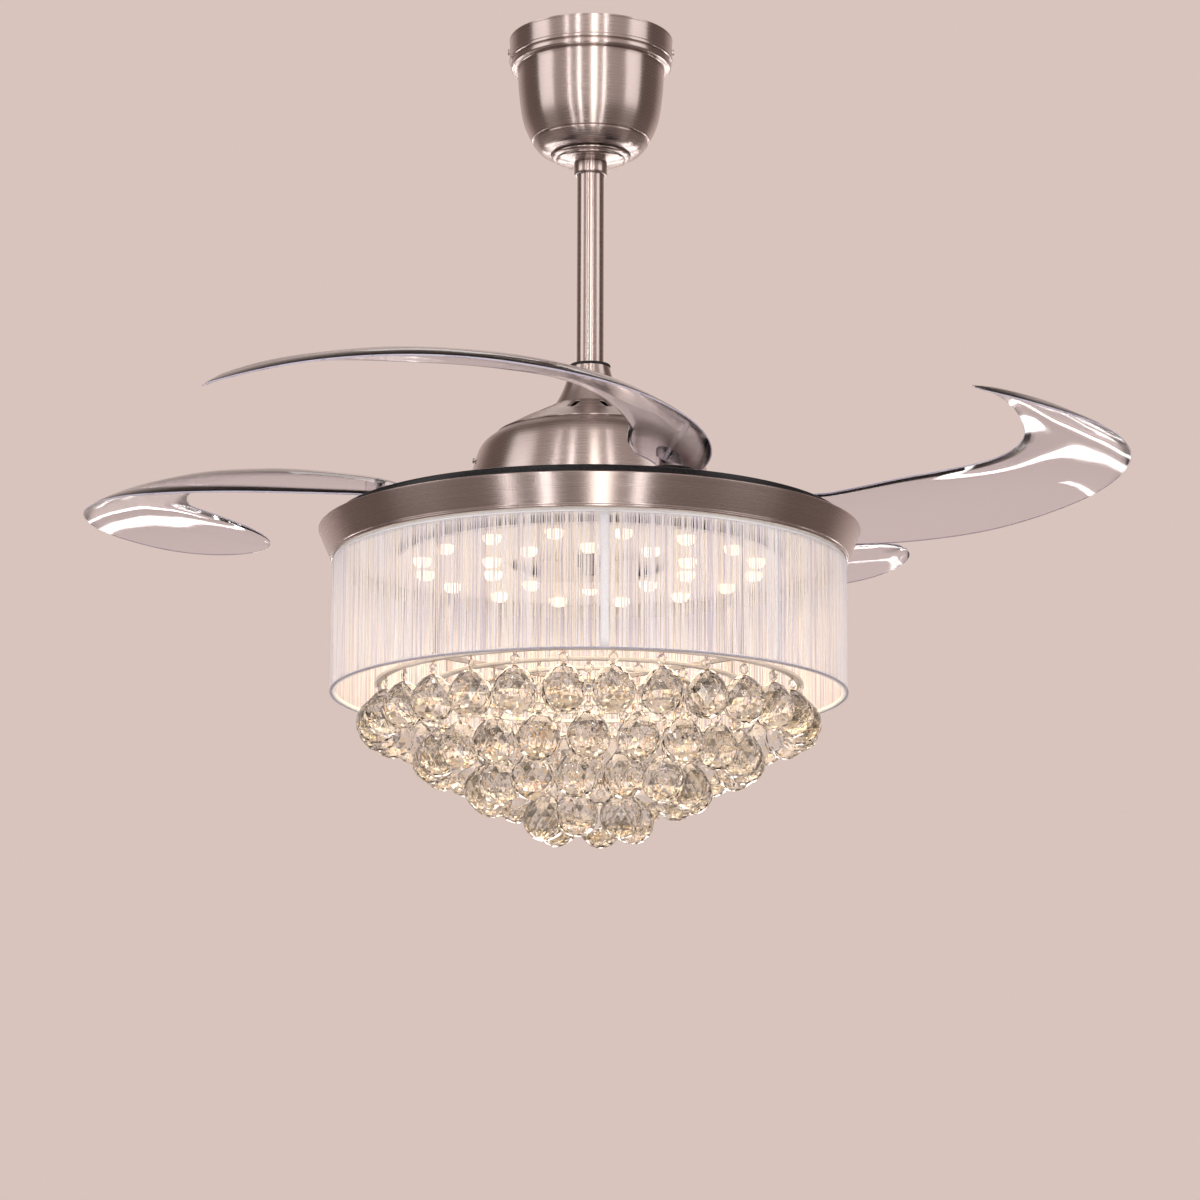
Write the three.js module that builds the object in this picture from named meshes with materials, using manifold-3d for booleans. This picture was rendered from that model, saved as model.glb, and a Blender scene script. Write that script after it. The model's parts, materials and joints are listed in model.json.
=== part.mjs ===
// Retractable blade ceiling fan with a thread shade and four tiers of crystal balls.
// Millimetres, +Z up. The origin is on the ceiling plane, at the centre of the mounting
// bracket's flat top, and the fan hangs below it. The front of the fan faces -Y.
import * as THREE from "three";
import * as BufferGeometryUtils from "three/addons/utils/BufferGeometryUtils.js";
import Module from "manifold-3d";

const wasm = await Module();
wasm.setup();

// ---------------------------------------------------------------- clearances
const CONTACT_GAP = 0.3; // between pieces that rest on or plug into each other
const RUNNING_GAP = 0.35; // between a turning piece and the piece it turns on

// ---------------------------------------------------------------- hanger ball and downrod
const BALL_RADIUS = 32;
const BALL_DEPTH = 66; // from the ceiling to the centre of the ball
const BALL_TOP_CUT = 17;
const BALL_BOTTOM_CUT = 25;
const PIN_RADIUS = 3;
const ROD_RADIUS = 13.4;
const ROD_WALL = 2;
const ROD_PROUD = 3; // above the ball
const ROD_LENGTH = 318;
const COLLAR_WALL = 2.9;
const COLLAR_HEIGHT = 12;

// ---------------------------------------------------------------- ceiling bracket
const BRACKET_WIDTH = 44;
const BRACKET_PLATE = 3;
const BRACKET_ARM_WIDTH = 34;
const BRACKET_BALL_GAP = 11; // from the ball to an arm
const BRACKET_CANOPY_GAP = 7.6; // from the end of the plate to the canopy
const BRACKET_TAB_WIDTH = 20;
const BRACKET_TAB_MARGIN = 9; // below the canopy screw
const SEAT_LIP = 2; // outside the arms
const SEAT_WALL = 4; // outside the rod's bore
const SEAT_DROP = 2; // from the middle of the ball to the top of its seat
const SEAT_HEIGHT = 14;
const SLOT_LENGTH = 18;
const SLOT_WIDTH = 6;
const SLOT_SPACING = 70;
const RECEIVER_SIZE = [52, 18, 38];
const RECEIVER_GAP = 2; // from the ball

// ---------------------------------------------------------------- canopy
const CANOPY_DROP = 1; // from the ceiling to its rim
const CANOPY_WALL = 1.4;
const CANOPY_RIM_RADIUS = 82;
const CANOPY_RIM_HEIGHT = 24;
const CANOPY_BEAD_HEIGHT = 7;
const CANOPY_BEAD_RADIUS = 80;
const CANOPY_BOWL_RADIUS = 73.5;
const CANOPY_WAIST_RADIUS = 58.5;
const CANOPY_BOWL_HEIGHT = 75;
const CANOPY_MOUTH_RADIUS = 40;
const CANOPY_CUP_HEIGHT = 14;
const CANOPY_RING_HEIGHT = 9;
const CANOPY_RING_STEP = 5;
const CANOPY_SCREW_DEPTH = 13;
const CANOPY_SCREW_RADIUS = 3.5;
const CANOPY_SCREW_HEAD = 1.2;

// ---------------------------------------------------------------- coupler, vent ring and dome
const GASKET_WALL = 6.5;
const GASKET_HEIGHT = 2.6;
const COUPLER_OVERLAP = 23; // from its top to the end of the rod
const COUPLER_HEIGHT = 41;
const COUPLER_FLARE = 16.2;
const COUPLER_WALL = 1.2;
const COUPLER_YOKE_GAP = 1.6;
const VENT_COUNT = 12;
const VENT_WIDTH = 5.5;
const VENT_LENGTH = 26;
const VENT_INSET = 5; // from the coupler to a slot
const VENT_SPREAD = 25; // from a slot to the ring's edge
const VENT_SLOT_DROP = 15; // from the ring's top to the outer end of a slot
const VENT_HEIGHT = 29;
const DOME_WALL = 1.4;
const DOME_SHOULDER_SPREAD = 21;
const DOME_SHOULDER_DROP = 27;
const DOME_BASE_SPREAD = 10;
const DOME_HEIGHT = 84;
const DOME_SCREW_COUNT = 2;
const DOME_SCREW_RADIUS = 2.6;
const DOME_SCREW_HEAD = 1.4;
const DOME_SCREW_LENGTH = 9;
const DOME_SCREW_BEARING = 10;
const DOME_SCREW_DROP = 2; // below the shoulder

// ---------------------------------------------------------------- motor
const YOKE_WALL = 3.3;
const YOKE_SOCKET = 19; // length of rod inside it
const YOKE_PIN_RISE = 10; // above the rod's end
const YOKE_HUB_WALL = 4.7;
const YOKE_PLATE_DROP = 15; // below the vent ring
const YOKE_PLATE_THICKNESS = 3;
const YOKE_DOME_GAP = 9; // from the dome's outside to the edge of the plate
const YOKE_SHELF = 6; // from that edge to the outer face of a tab
const YOKE_TAB_WIDTH = 16;
const YOKE_TAB_MARGIN = 6; // below the dome screw
const SHAFT_RADIUS = 8;
const SHAFT_WALL = 3;
const SHAFT_ROD_GAP = 6; // from the rod's end to the shaft
const SHAFT_PROUD = 9; // below the nut
const BELL_TAB_GAP = 13; // from a tab to the bell
const BELL_WALL = 3;
const BELL_YOKE_GAP = 3;
const BELL_FLANGE = 8;
const MAGNET_THICKNESS = 5;
const MAGNET_HEIGHT = 40;
const STATOR_HEIGHT = 34;
const STATOR_TEETH = 12;
const AIR_GAP = 1;
const BEARING_WALL = 7.65;
const BEARING_HEIGHT = 7;

// ---------------------------------------------------------------- rotor disc
const DISC_RADIUS = 250;
const DISC_DOME_GAP = 2.2;
const DISC_THICKNESS = 3;
const DISC_RIM_HEIGHT = 11;
const DISC_RIM_WALL = 2;
const PIVOT_INSET = 35; // from the disc's edge
const PIVOT_BEARING = 20.2; // of the first blade, from +X
const BLADE_COUNT = 4;
const AXLE_RADIUS = 7.5;

// ---------------------------------------------------------------- blades
const FOLD_ANGLE = 86;
const BLADE_START_BEARING = 79; // seen from the fold centre, at full chord
const BLADE_SWEEP = 167.4;
const BLADE_TONGUE_SWEEP = 15;
const BLADE_PIVOT_OFFSET = 16; // the pivot lies outside the blade's middle line
const BLADE_ROOT_FLARE = 8;
const BLADE_TIP_FLARE = 22;
const BLADE_WIDTH = 106;
const BLADE_NECK_WIDTH = 70;
const BLADE_TONGUE_WIDTH = 44;
const BLADE_WIDEST_AT = 0.31;
const BLADE_TIP_FULLNESS = 2.66;
const BLADE_ROOT_HEIGHT = 21; // middle of the chord above the disc
const BLADE_RISE = 28.6;
const BLADE_ARCH = 3.3;
const BLADE_CAMBER = 0.09; // of the chord
const BLADE_ROOT_PITCH = 26;
const BLADE_MIDDLE_PITCH = 12;
const BLADE_TIP_PITCH = 22;
const BLADE_THICKNESS = 3;
const HUB_RADIUS = 27;
const HUB_HEIGHT = 9;
const RISER_LENGTH = 22;
const RISER_STOCK = 40; // before the blade's underside trims it
const RISER_TRIM = 60; // above the blade's underside
const RISER_WIDTH = 26;
const HUB_CLEARANCE = 0.8;
const BLADE_SCREW_RADIUS = 2.5;
const BLADE_SCREW_HEAD_RADIUS = 5.5;
const BLADE_SCREW_HEAD_HEIGHT = 2.4;
const BLADE_SCREW_LENGTH = 11;

// ---------------------------------------------------------------- blade gears and springs
const GEAR_MODULE = 2.5;
const PINION_TEETH = 16;
const GEAR_THICKNESS = 5;
const GEAR_DROP = 7.8; // from the disc's underside to the gears
const AXLE_PROUD = 3; // below the gears
const TOOTH_SHARE = 0.36; // of the pitch, at the pitch circle
const SYNC_RING_WIDTH = 13;
const SPRING_WIRE_RADIUS = 0.6;
const SPRING_GAP = 3.5; // from the axle to the middle of the wire
const SPRING_TURNS = 2.5;
const STUD_RADIUS = 4;
const STUD_GAP = 2.5;
const STUD_HOLD = 1.5; // the head laps the ring by this much
const STUD_HEAD_HEIGHT = 2;

// ---------------------------------------------------------------- light pan, band and lamp
const PAN_DROP = 16; // below the gears
const PAN_THICKNESS = 1.6;
const PAN_RIM_HEIGHT = 8.5;
const BAND_DISC_GAP = 15;
const BAND_HEIGHT = 30.5;
const BAND_TAPER = 13;
const BAND_WALL = 1.6;
const BAND_LIP = 4;
const BAND_SKIRT = 0.5; // below the pan's rim
const NUT_WALL = 4;
const NUT_HEIGHT = 9;
const DRIVER_SIZE = [96, 34, 22];
const DRIVER_GAP = 6; // from the nut
const LED_DRIVER_GAP = 6; // from the driver's corners to the plate
const LED_ROD_GAP = 11.5; // from the plate to the crystal frame's rods
const LED_PLATE_THICKNESS = 3;
const LED_SPACER_HEIGHT = 7.4;
const LED_SPACER_RADIUS = 4;
const LED_SPACER_COUNT = 3;
const LED_OUTER_COUNT = 16;
const LED_OUTER_INSET = 23;
const LED_INNER_COUNT = 10;
const LED_INNER_INSET = 22;
const LENS_RADIUS = 9;
const LENS_HEIGHT = 8;

// ---------------------------------------------------------------- shade
const SHADE_INSET = 1; // from the band
const SHADE_WALL = 1.6;
const SHADE_BAND_GAP = 3;
const SHADE_HEIGHT = 128.5;
const SHADE_RING_WIDTH = 3;
const SHADE_RING_HEIGHT = 3.4;

// ---------------------------------------------------------------- crystals
const CRYSTAL_RADIUS = 21;
const FRAME_RISE = 10.5; // from the shade's hem up to the crystal rings
const TIER_PLAN = [ // inset from the shade's inside, hang from a ring to the middle of its balls
  { inset: 44.4, hang: 41, count: 28, turn: 0.5 },
  { inset: 99.4, hang: 76, count: 20, turn: 0 },
  { inset: 149.4, hang: 104.5, count: 14, turn: 0.25 },
  { inset: 205.4, hang: 133, count: 6, turn: 0.25 },
];
const TIER_STRIP_WIDTH = 7;
const TIER_STRIP_THICKNESS = 3;
const BEAD_RADIUS = 5;
const BEAD_START = 10; // from a ring to its first bead
const BEAD_PITCH = 18;
const HOOK_RADIUS = 1.1;
const ARM_COUNT = 4;
const ARM_THICKNESS = 3;
const ARM_HEIGHT = 4;
const HANGER_ROD_RADIUS = 2.5;
const HANGER_ROD_INSET = 3;
const CENTRE_PLATE_RADIUS = 14;
const PLATE_PROUD = 1; // above the arms

// ---------------------------------------------------------------- places that follow from the sizes
const rodBoreRadius = ROD_RADIUS + CONTACT_GAP;
const rodTopDepth = BALL_DEPTH - BALL_TOP_CUT - ROD_PROUD;
const rodBaseDepth = rodTopDepth + ROD_LENGTH;
const ballPinDepth = BALL_DEPTH - BALL_TOP_CUT / 2;
const collarRadius = rodBoreRadius + COLLAR_WALL;

const bracketArmSpacing = 2 * (BALL_RADIUS + BRACKET_BALL_GAP + BRACKET_PLATE); // outside to outside
const bracketLength = 2 * (CANOPY_RIM_RADIUS - CANOPY_WALL - BRACKET_CANOPY_GAP);
const bracketTabHeight = CANOPY_SCREW_DEPTH + BRACKET_TAB_MARGIN;
const seatRadius = bracketArmSpacing / 2 + SEAT_LIP;
const seatTopDepth = BALL_DEPTH + SEAT_DROP;
const seatBaseDepth = seatTopDepth + SEAT_HEIGHT;

const canopyBeadTop = CANOPY_DROP + CANOPY_RIM_HEIGHT;
const canopyBeadBase = canopyBeadTop + CANOPY_BEAD_HEIGHT;
const canopyWaistDepth = canopyBeadBase + CANOPY_BOWL_HEIGHT;
const canopyMouthDepth = canopyWaistDepth + CANOPY_CUP_HEIGHT;
const canopyRingBase = canopyMouthDepth + CANOPY_RING_HEIGHT;

const yokeRadius = rodBoreRadius + YOKE_WALL;
const yokeTopDepth = rodBaseDepth - YOKE_SOCKET;
const yokePinDepth = rodBaseDepth - YOKE_PIN_RISE;
const couplerTopDepth = rodBaseDepth - COUPLER_OVERLAP;
const couplerBaseDepth = couplerTopDepth + COUPLER_HEIGHT;
const couplerTopRadius = yokeRadius + COUPLER_YOKE_GAP + COUPLER_WALL;
const couplerBaseRadius = couplerTopRadius + COUPLER_FLARE;
const ventInnerRadius = couplerBaseRadius + VENT_INSET;
const ventOuterRadius = ventInnerRadius + VENT_LENGTH;
const ventBaseRadius = ventOuterRadius + VENT_SPREAD;
const ventBaseDepth = couplerBaseDepth + VENT_HEIGHT;
const domeShoulderRadius = ventBaseRadius + DOME_SHOULDER_SPREAD;
const domeShoulderDepth = ventBaseDepth + DOME_SHOULDER_DROP;
const domeBaseRadius = domeShoulderRadius + DOME_BASE_SPREAD;
const domeBaseDepth = ventBaseDepth + DOME_HEIGHT;
const domeScrewDepth = domeShoulderDepth + DOME_SCREW_DROP;

const yokePlateDepth = ventBaseDepth + YOKE_PLATE_DROP;
const yokePlateBase = yokePlateDepth + YOKE_PLATE_THICKNESS;
const bearingBore = SHAFT_RADIUS + RUNNING_GAP;
const bearingRadius = bearingBore + BEARING_WALL;
const bearingHole = bearingRadius + CONTACT_GAP;
const bellTopDepth = yokePlateBase + BELL_YOKE_GAP;

const discTopDepth = domeBaseDepth + DISC_DOME_GAP;
const discBaseDepth = discTopDepth + DISC_THICKNESS;
const bellBaseDepth = discTopDepth - CONTACT_GAP;
const statorDepth = (bellTopDepth + bellBaseDepth) / 2;
const pivotRadius = DISC_RADIUS - PIVOT_INSET;
const bladeBearings = Array.from({ length: BLADE_COUNT }, (_, i) => PIVOT_BEARING + (i * 360) / BLADE_COUNT);
const gearTopDepth = discBaseDepth + GEAR_DROP;
const gearBaseDepth = gearTopDepth + GEAR_THICKNESS;
const springCoilRadius = AXLE_RADIUS + SPRING_GAP;

const panDepth = gearBaseDepth + PAN_DROP;
const panBase = panDepth + PAN_THICKNESS;
const panRimDepth = panDepth + PAN_RIM_HEIGHT;
const bandBaseDepth = panRimDepth + BAND_SKIRT;
const bandTopDepth = bandBaseDepth - BAND_HEIGHT;
const bandTopRadius = DISC_RADIUS + BAND_DISC_GAP;
const bandBaseRadius = bandTopRadius - BAND_TAPER;
const nutTopDepth = panBase + CONTACT_GAP;
const nutBaseDepth = nutTopDepth + NUT_HEIGHT;
const nutCornerRadius = (2 * (SHAFT_RADIUS + NUT_WALL)) / Math.sqrt(3);
const shaftBaseDepth = nutBaseDepth + SHAFT_PROUD;
const driverOffset = nutCornerRadius + DRIVER_GAP + DRIVER_SIZE[1] / 2;

const shadeTopDepth = bandBaseDepth + SHADE_BAND_GAP;
const shadeBaseDepth = shadeTopDepth + SHADE_HEIGHT;
const shadeRadius = bandBaseRadius - SHADE_INSET;
const shadeInside = shadeRadius - SHADE_WALL;
const frameDepth = shadeBaseDepth - FRAME_RISE;
const tiers = TIER_PLAN.map(({ inset, hang, count, turn }) => (
  { radius: shadeInside - inset, hang, count, turn }
));
const hangerRodsAt = tiers[0].radius - HANGER_ROD_INSET;
const ledPlateDepth = panBase + LED_SPACER_HEIGHT;
const ledPlateBase = ledPlateDepth + LED_PLATE_THICKNESS;
const ledPlateOuter = hangerRodsAt - HANGER_ROD_RADIUS - LED_ROD_GAP;
const ledPlateInner = Math.hypot(DRIVER_SIZE[0] / 2, driverOffset + DRIVER_SIZE[1] / 2) + LED_DRIVER_GAP;

// ---------------------------------------------------------------- smoothness
const BIG_SEGMENTS = 36;
const DOME_SEGMENTS = 24;
const HUB_SEGMENTS = 12;
const SMALL_SEGMENTS = 16;
const PIN_SEGMENTS = 8;
const BLADE_LENGTH_STEPS = 16;
const BLADE_WIDTH_STEPS = 3;

// ---------------------------------------------------------------- materials
function material(name, color, roughness, metalness) {
  return new THREE.MeshStandardMaterial({ name, color, roughness, metalness });
}
const brushedNickel = () => material("brushed_nickel", 0xa8978f, 0.34, 1);
const blackCoat = () => material("black_coat", 0x17171a, 0.4, 0.1);
const steel = () => material("zinc_steel", 0x9a9ba0, 0.4, 1);
const clearAcrylic = () => material("clear_acrylic", 0xd9d6df, 0.06, 0);
const blackRubber = () => material("black_rubber", 0x101011, 0.8, 0);
const whitePlastic = () => material("white_plastic", 0xf1efea, 0.45, 0);
const nylon = () => material("nylon", 0xe6e2d4, 0.5, 0);
const shadeThread = () => material("shade_thread", 0xf2f1f4, 0.7, 0);
const crystalGlass = () => material("crystal_glass", 0xcfc8b4, 0.03, 0);
const magnetGrey = () => material("magnet_ferrite", 0x3a3a3c, 0.6, 0.2);
const laminations = () => material("stator_laminations", 0x6d6a68, 0.5, 0.8);
const whiteCoat = () => material("white_coat", 0xe9e7e2, 0.5, 0);

// ---------------------------------------------------------------- solid helpers
const degrees = THREE.MathUtils.degToRad;

// Shared vertices, no zero-area faces, and every face pointing out.
function closed(geometry) {
  const bare = geometry.clone();
  bare.deleteAttribute("normal");
  bare.deleteAttribute("uv");
  const merged = BufferGeometryUtils.mergeVertices(bare, 1e-4);
  const place = merged.getAttribute("position");
  const kept = [];
  const corners = [new THREE.Vector3(), new THREE.Vector3(), new THREE.Vector3()];
  let volume = 0;
  for (let i = 0; i < merged.index.count; i += 3) {
    const face = [0, 1, 2].map((j) => merged.index.getX(i + j));
    if (new Set(face).size < 3) continue;
    face.forEach((vertex, j) => corners[j].fromBufferAttribute(place, vertex));
    volume += corners[0].dot(corners[1].clone().cross(corners[2])) / 6;
    kept.push(...face);
  }
  if (volume < 0) kept.reverse();
  merged.setIndex(kept);
  return merged;
}

function toSolid(geometry) {
  const tidy = closed(geometry);
  const vertProperties = new Float32Array(tidy.getAttribute("position").array);
  const triVerts = new Uint32Array(tidy.index.array);
  return new wasm.Manifold(new wasm.Mesh({ numProp: 3, vertProperties, triVerts }));
}

function toGeometry(solid) {
  const mesh = solid.getMesh();
  const geometry = new THREE.BufferGeometry();
  geometry.setAttribute("position", new THREE.BufferAttribute(mesh.vertProperties, 3));
  geometry.setIndex(new THREE.BufferAttribute(mesh.triVerts, 1));
  return geometry;
}

const joined = (pieces) => pieces.reduce((whole, piece) => whole.add(piece));
const cut = (whole, holes) => holes.reduce((rest, hole) => rest.subtract(hole), whole);

// Turns a profile of [radius, depth below the ceiling] points about the Z axis.
function revolve(profile, segments) {
  const points = profile.map(([radius, depth]) => new THREE.Vector2(radius, -depth));
  const geometry = new THREE.LatheGeometry(points, segments);
  geometry.rotateX(Math.PI / 2);
  return geometry;
}

function ring(inner, outer, topDepth, baseDepth, segments) {
  const corners = [[inner, topDepth], [outer, topDepth], [outer, baseDepth], [inner, baseDepth]];
  return revolve([...corners, corners[0]], segments);
}

function disc(radius, topDepth, baseDepth, segments) {
  return revolve([[0, topDepth], [radius, topDepth], [radius, baseDepth], [0, baseDepth]], segments);
}

// A thin wall inside an outer profile, measured square to it.
function shell(outer, wall, segments) {
  const inner = outer.map(([radius, depth], i) => {
    const [r0, d0] = outer[Math.max(i - 1, 0)];
    const [r1, d1] = outer[Math.min(i + 1, outer.length - 1)];
    const along = new THREE.Vector2(r1 - r0, d1 - d0).normalize();
    const level = THREE.MathUtils.clamp(depth + wall * along.x, outer[0][1], outer[outer.length - 1][1]);
    return [radius - wall * along.y, level];
  });
  return revolve([...outer, ...inner.reverse(), outer[0]], segments);
}

// Points of a smooth profile through a few chosen ones.
function smoothProfile(points, count) {
  const curve = new THREE.SplineCurve(points.map(([r, d]) => new THREE.Vector2(r, d)));
  return curve.getPoints(count).map((p) => [p.x, p.y]);
}

function box(size, centre) {
  const geometry = new THREE.BoxGeometry(...size);
  geometry.translate(...centre);
  return geometry;
}

// A round bar between two points.
function bar(radius, from, to, segments = PIN_SEGMENTS) {
  const a = new THREE.Vector3(...from);
  const b = new THREE.Vector3(...to);
  const geometry = new THREE.CylinderGeometry(radius, radius, a.distanceTo(b), segments);
  const turn = new THREE.Quaternion();
  turn.setFromUnitVectors(new THREE.Vector3(0, 1, 0), b.clone().sub(a).normalize());
  geometry.applyQuaternion(turn);
  geometry.translate(...a.add(b).multiplyScalar(0.5));
  return geometry;
}

// The radius of a profile at a given depth.
function radiusAt(profile, depth) {
  const next = profile.findIndex((point) => point[1] >= depth);
  const [r0, d0] = profile[Math.max(next - 1, 0)];
  const [r1, d1] = profile[Math.max(next, 0)];
  return d1 > d0 ? r0 + ((r1 - r0) * (depth - d0)) / (d1 - d0) : r1;
}

const onCircle = (radius, bearing) => [
  radius * Math.cos(degrees(bearing)),
  radius * Math.sin(degrees(bearing)),
];

const fan = new THREE.Group();

function addPiece(name, geometry, finish, parent = fan) {
  const mesh = new THREE.Mesh(closed(geometry), finish);
  mesh.name = name;
  parent.add(mesh);
  return mesh;
}

// ---------------------------------------------------------------- ceiling bracket
function canopyScrewHole(side) {
  return toSolid(bar(
    CANOPY_SCREW_RADIUS / 2 + CONTACT_GAP,
    [side * (bracketLength / 2 - 8), 0, -CANOPY_SCREW_DEPTH],
    [side * (CANOPY_RIM_RADIUS + 2), 0, -CANOPY_SCREW_DEPTH],
  ));
}

function addBracket() {
  const plate = box(
    [bracketLength, BRACKET_WIDTH, BRACKET_PLATE],
    [0, 0, -BRACKET_PLATE / 2],
  );
  const pieces = [toSolid(plate)];
  const armHeight = seatBaseDepth - BRACKET_PLATE / 2;
  for (const side of [-1, 1]) {
    const arm = box(
      [BRACKET_PLATE, BRACKET_ARM_WIDTH, armHeight],
      [side * (bracketArmSpacing - BRACKET_PLATE) / 2, 0, -BRACKET_PLATE / 2 - armHeight / 2],
    );
    pieces.push(toSolid(arm));
  }
  for (const side of [-1, 1]) {
    const tab = box(
      [BRACKET_PLATE, BRACKET_TAB_WIDTH, bracketTabHeight],
      [side * (bracketLength - BRACKET_PLATE) / 2, 0, -bracketTabHeight / 2],
    );
    pieces.push(toSolid(tab));
  }
  const seatInside = rodBoreRadius + SEAT_WALL;
  pieces.push(toSolid(ring(seatInside, seatRadius, seatTopDepth, seatBaseDepth, SMALL_SEGMENTS)));
  const ball = new THREE.SphereGeometry(BALL_RADIUS + CONTACT_GAP, SMALL_SEGMENTS, 16);
  ball.rotateX(Math.PI / 2);
  ball.translate(0, 0, -BALL_DEPTH);
  const slots = [-1, 1].map((side) => toSolid(box(
    [SLOT_WIDTH, SLOT_LENGTH, BRACKET_PLATE * 3],
    [side * SLOT_SPACING / 2, 0, 0],
  )));
  const screwHoles = [-1, 1].map(canopyScrewHole);
  const bracket = cut(joined(pieces), [toSolid(ball), ...slots, ...screwHoles]);
  addPiece("mounting_bracket", toGeometry(bracket), steel());
}

// ---------------------------------------------------------------- hanger ball, pin and rod
function addHanger() {
  const topAngle = Math.acos(BALL_TOP_CUT / BALL_RADIUS);
  const baseAngle = Math.acos(BALL_BOTTOM_CUT / BALL_RADIUS);
  const sweep = Math.PI - topAngle - baseAngle;
  const steps = 8;
  const profile = Array.from({ length: steps + 1 }, (_, i) => {
    const angle = topAngle + (sweep * i) / steps;
    return [BALL_RADIUS * Math.sin(angle), BALL_DEPTH - BALL_RADIUS * Math.cos(angle)];
  });
  const top = profile[0];
  const base = profile[steps];
  const outline = [...profile, [rodBoreRadius, base[1]], [rodBoreRadius, top[1]], top];
  const pinHalf = Math.sqrt(BALL_RADIUS ** 2 - (BALL_DEPTH - ballPinDepth) ** 2) - 2;
  const pinHole = toSolid(bar(
    PIN_RADIUS + CONTACT_GAP,
    [0, -BALL_RADIUS - 1, -ballPinDepth],
    [0, BALL_RADIUS + 1, -ballPinDepth],
  ));
  const ball = toSolid(revolve(outline, SMALL_SEGMENTS)).subtract(pinHole);
  addPiece("hanger_ball", toGeometry(ball), blackRubber());
  const pin = bar(PIN_RADIUS, [0, -pinHalf, -ballPinDepth], [0, pinHalf, -ballPinDepth]);
  addPiece("hanger_pin", pin, steel());

  const yokePinHole = toSolid(bar(
    PIN_RADIUS + CONTACT_GAP,
    [0, -ROD_RADIUS - 1, -yokePinDepth],
    [0, ROD_RADIUS + 1, -yokePinDepth],
  ));
  const tube = ring(ROD_RADIUS - ROD_WALL, ROD_RADIUS, rodTopDepth, rodBaseDepth, SMALL_SEGMENTS);
  addPiece("downrod", toGeometry(cut(toSolid(tube), [pinHole, yokePinHole])), brushedNickel());
}

// ---------------------------------------------------------------- canopy
function addCanopy() {
  const bowl = smoothProfile([
    [CANOPY_BOWL_RADIUS, canopyBeadBase],
    [CANOPY_BOWL_RADIUS - 1.5, canopyBeadBase + 26],
    [(CANOPY_BOWL_RADIUS + CANOPY_WAIST_RADIUS) / 2 + 1.6, (canopyBeadBase + canopyWaistDepth) / 2 + 17],
    [CANOPY_WAIST_RADIUS, canopyWaistDepth],
  ], 5);
  const cup = smoothProfile([
    [CANOPY_WAIST_RADIUS - 1, canopyWaistDepth + 1.5],
    [CANOPY_MOUTH_RADIUS + 11.5, canopyMouthDepth - 6],
    [CANOPY_MOUTH_RADIUS, canopyMouthDepth],
  ], 2);
  const outer = [
    [CANOPY_RIM_RADIUS, CANOPY_DROP],
    [CANOPY_RIM_RADIUS, canopyBeadTop - 1],
    [CANOPY_BEAD_RADIUS, canopyBeadTop],
    [CANOPY_BEAD_RADIUS, canopyBeadBase - 1],
    ...bowl,
    ...cup,
  ];
  const inner = outer.map(([radius, depth], i) => [radius - CANOPY_WALL, i ? depth - CANOPY_WALL : depth]);
  const wall = toSolid(revolve([...outer, ...inner.reverse(), outer[0]], DOME_SEGMENTS));
  const holes = [-1, 1].map(canopyScrewHole);
  addPiece("canopy", toGeometry(cut(wall, holes)), brushedNickel());

  const mouth = CANOPY_MOUTH_RADIUS;
  addPiece("canopy_lower_ring", revolve([
    [mouth - 3, canopyMouthDepth + CONTACT_GAP],
    [mouth - 1, canopyMouthDepth + CONTACT_GAP + 2],
    [mouth - CANOPY_RING_STEP, canopyMouthDepth + 4],
    [mouth - CANOPY_RING_STEP - 1, canopyMouthDepth + 5.4],
    [mouth - CANOPY_RING_STEP * 2.4, canopyRingBase - 1.6],
    [collarRadius + 1, canopyRingBase],
    [rodBoreRadius, canopyRingBase],
    [rodBoreRadius, canopyRingBase - 2],
    [mouth - CANOPY_RING_STEP * 2.4, canopyMouthDepth + 3],
    [mouth - 3, canopyMouthDepth + CONTACT_GAP],
  ], SMALL_SEGMENTS), brushedNickel());

  [-1, 1].forEach((side, i) => {
    const head = bar(
      CANOPY_SCREW_RADIUS,
      [side * (CANOPY_RIM_RADIUS + CONTACT_GAP), 0, -CANOPY_SCREW_DEPTH],
      [side * (CANOPY_RIM_RADIUS + CONTACT_GAP + CANOPY_SCREW_HEAD), 0, -CANOPY_SCREW_DEPTH],
    );
    const shank = bar(
      CANOPY_SCREW_RADIUS / 2,
      [side * (bracketLength / 2 - 7), 0, -CANOPY_SCREW_DEPTH],
      [side * (CANOPY_RIM_RADIUS + 1), 0, -CANOPY_SCREW_DEPTH],
    );
    addPiece(`canopy_screw_${i + 1}`, toGeometry(toSolid(head).add(toSolid(shank))), brushedNickel());
  });
  const receiverDepth = seatTopDepth - CONTACT_GAP - RECEIVER_SIZE[2] / 2;
  const receiverOffset = BALL_RADIUS + RECEIVER_GAP + RECEIVER_SIZE[1] / 2;
  addPiece("receiver_box", box(RECEIVER_SIZE, [0, receiverOffset, -receiverDepth]), whitePlastic());
}

function addCollar() {
  const top = canopyRingBase + CONTACT_GAP;
  addPiece("downrod_collar", revolve([
    [rodBoreRadius, top],
    [collarRadius, top],
    [collarRadius, top + COLLAR_HEIGHT - 1],
    [collarRadius - 1, top + COLLAR_HEIGHT],
    [rodBoreRadius, top + COLLAR_HEIGHT],
    [rodBoreRadius, top],
  ], SMALL_SEGMENTS), brushedNickel());
}

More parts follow.
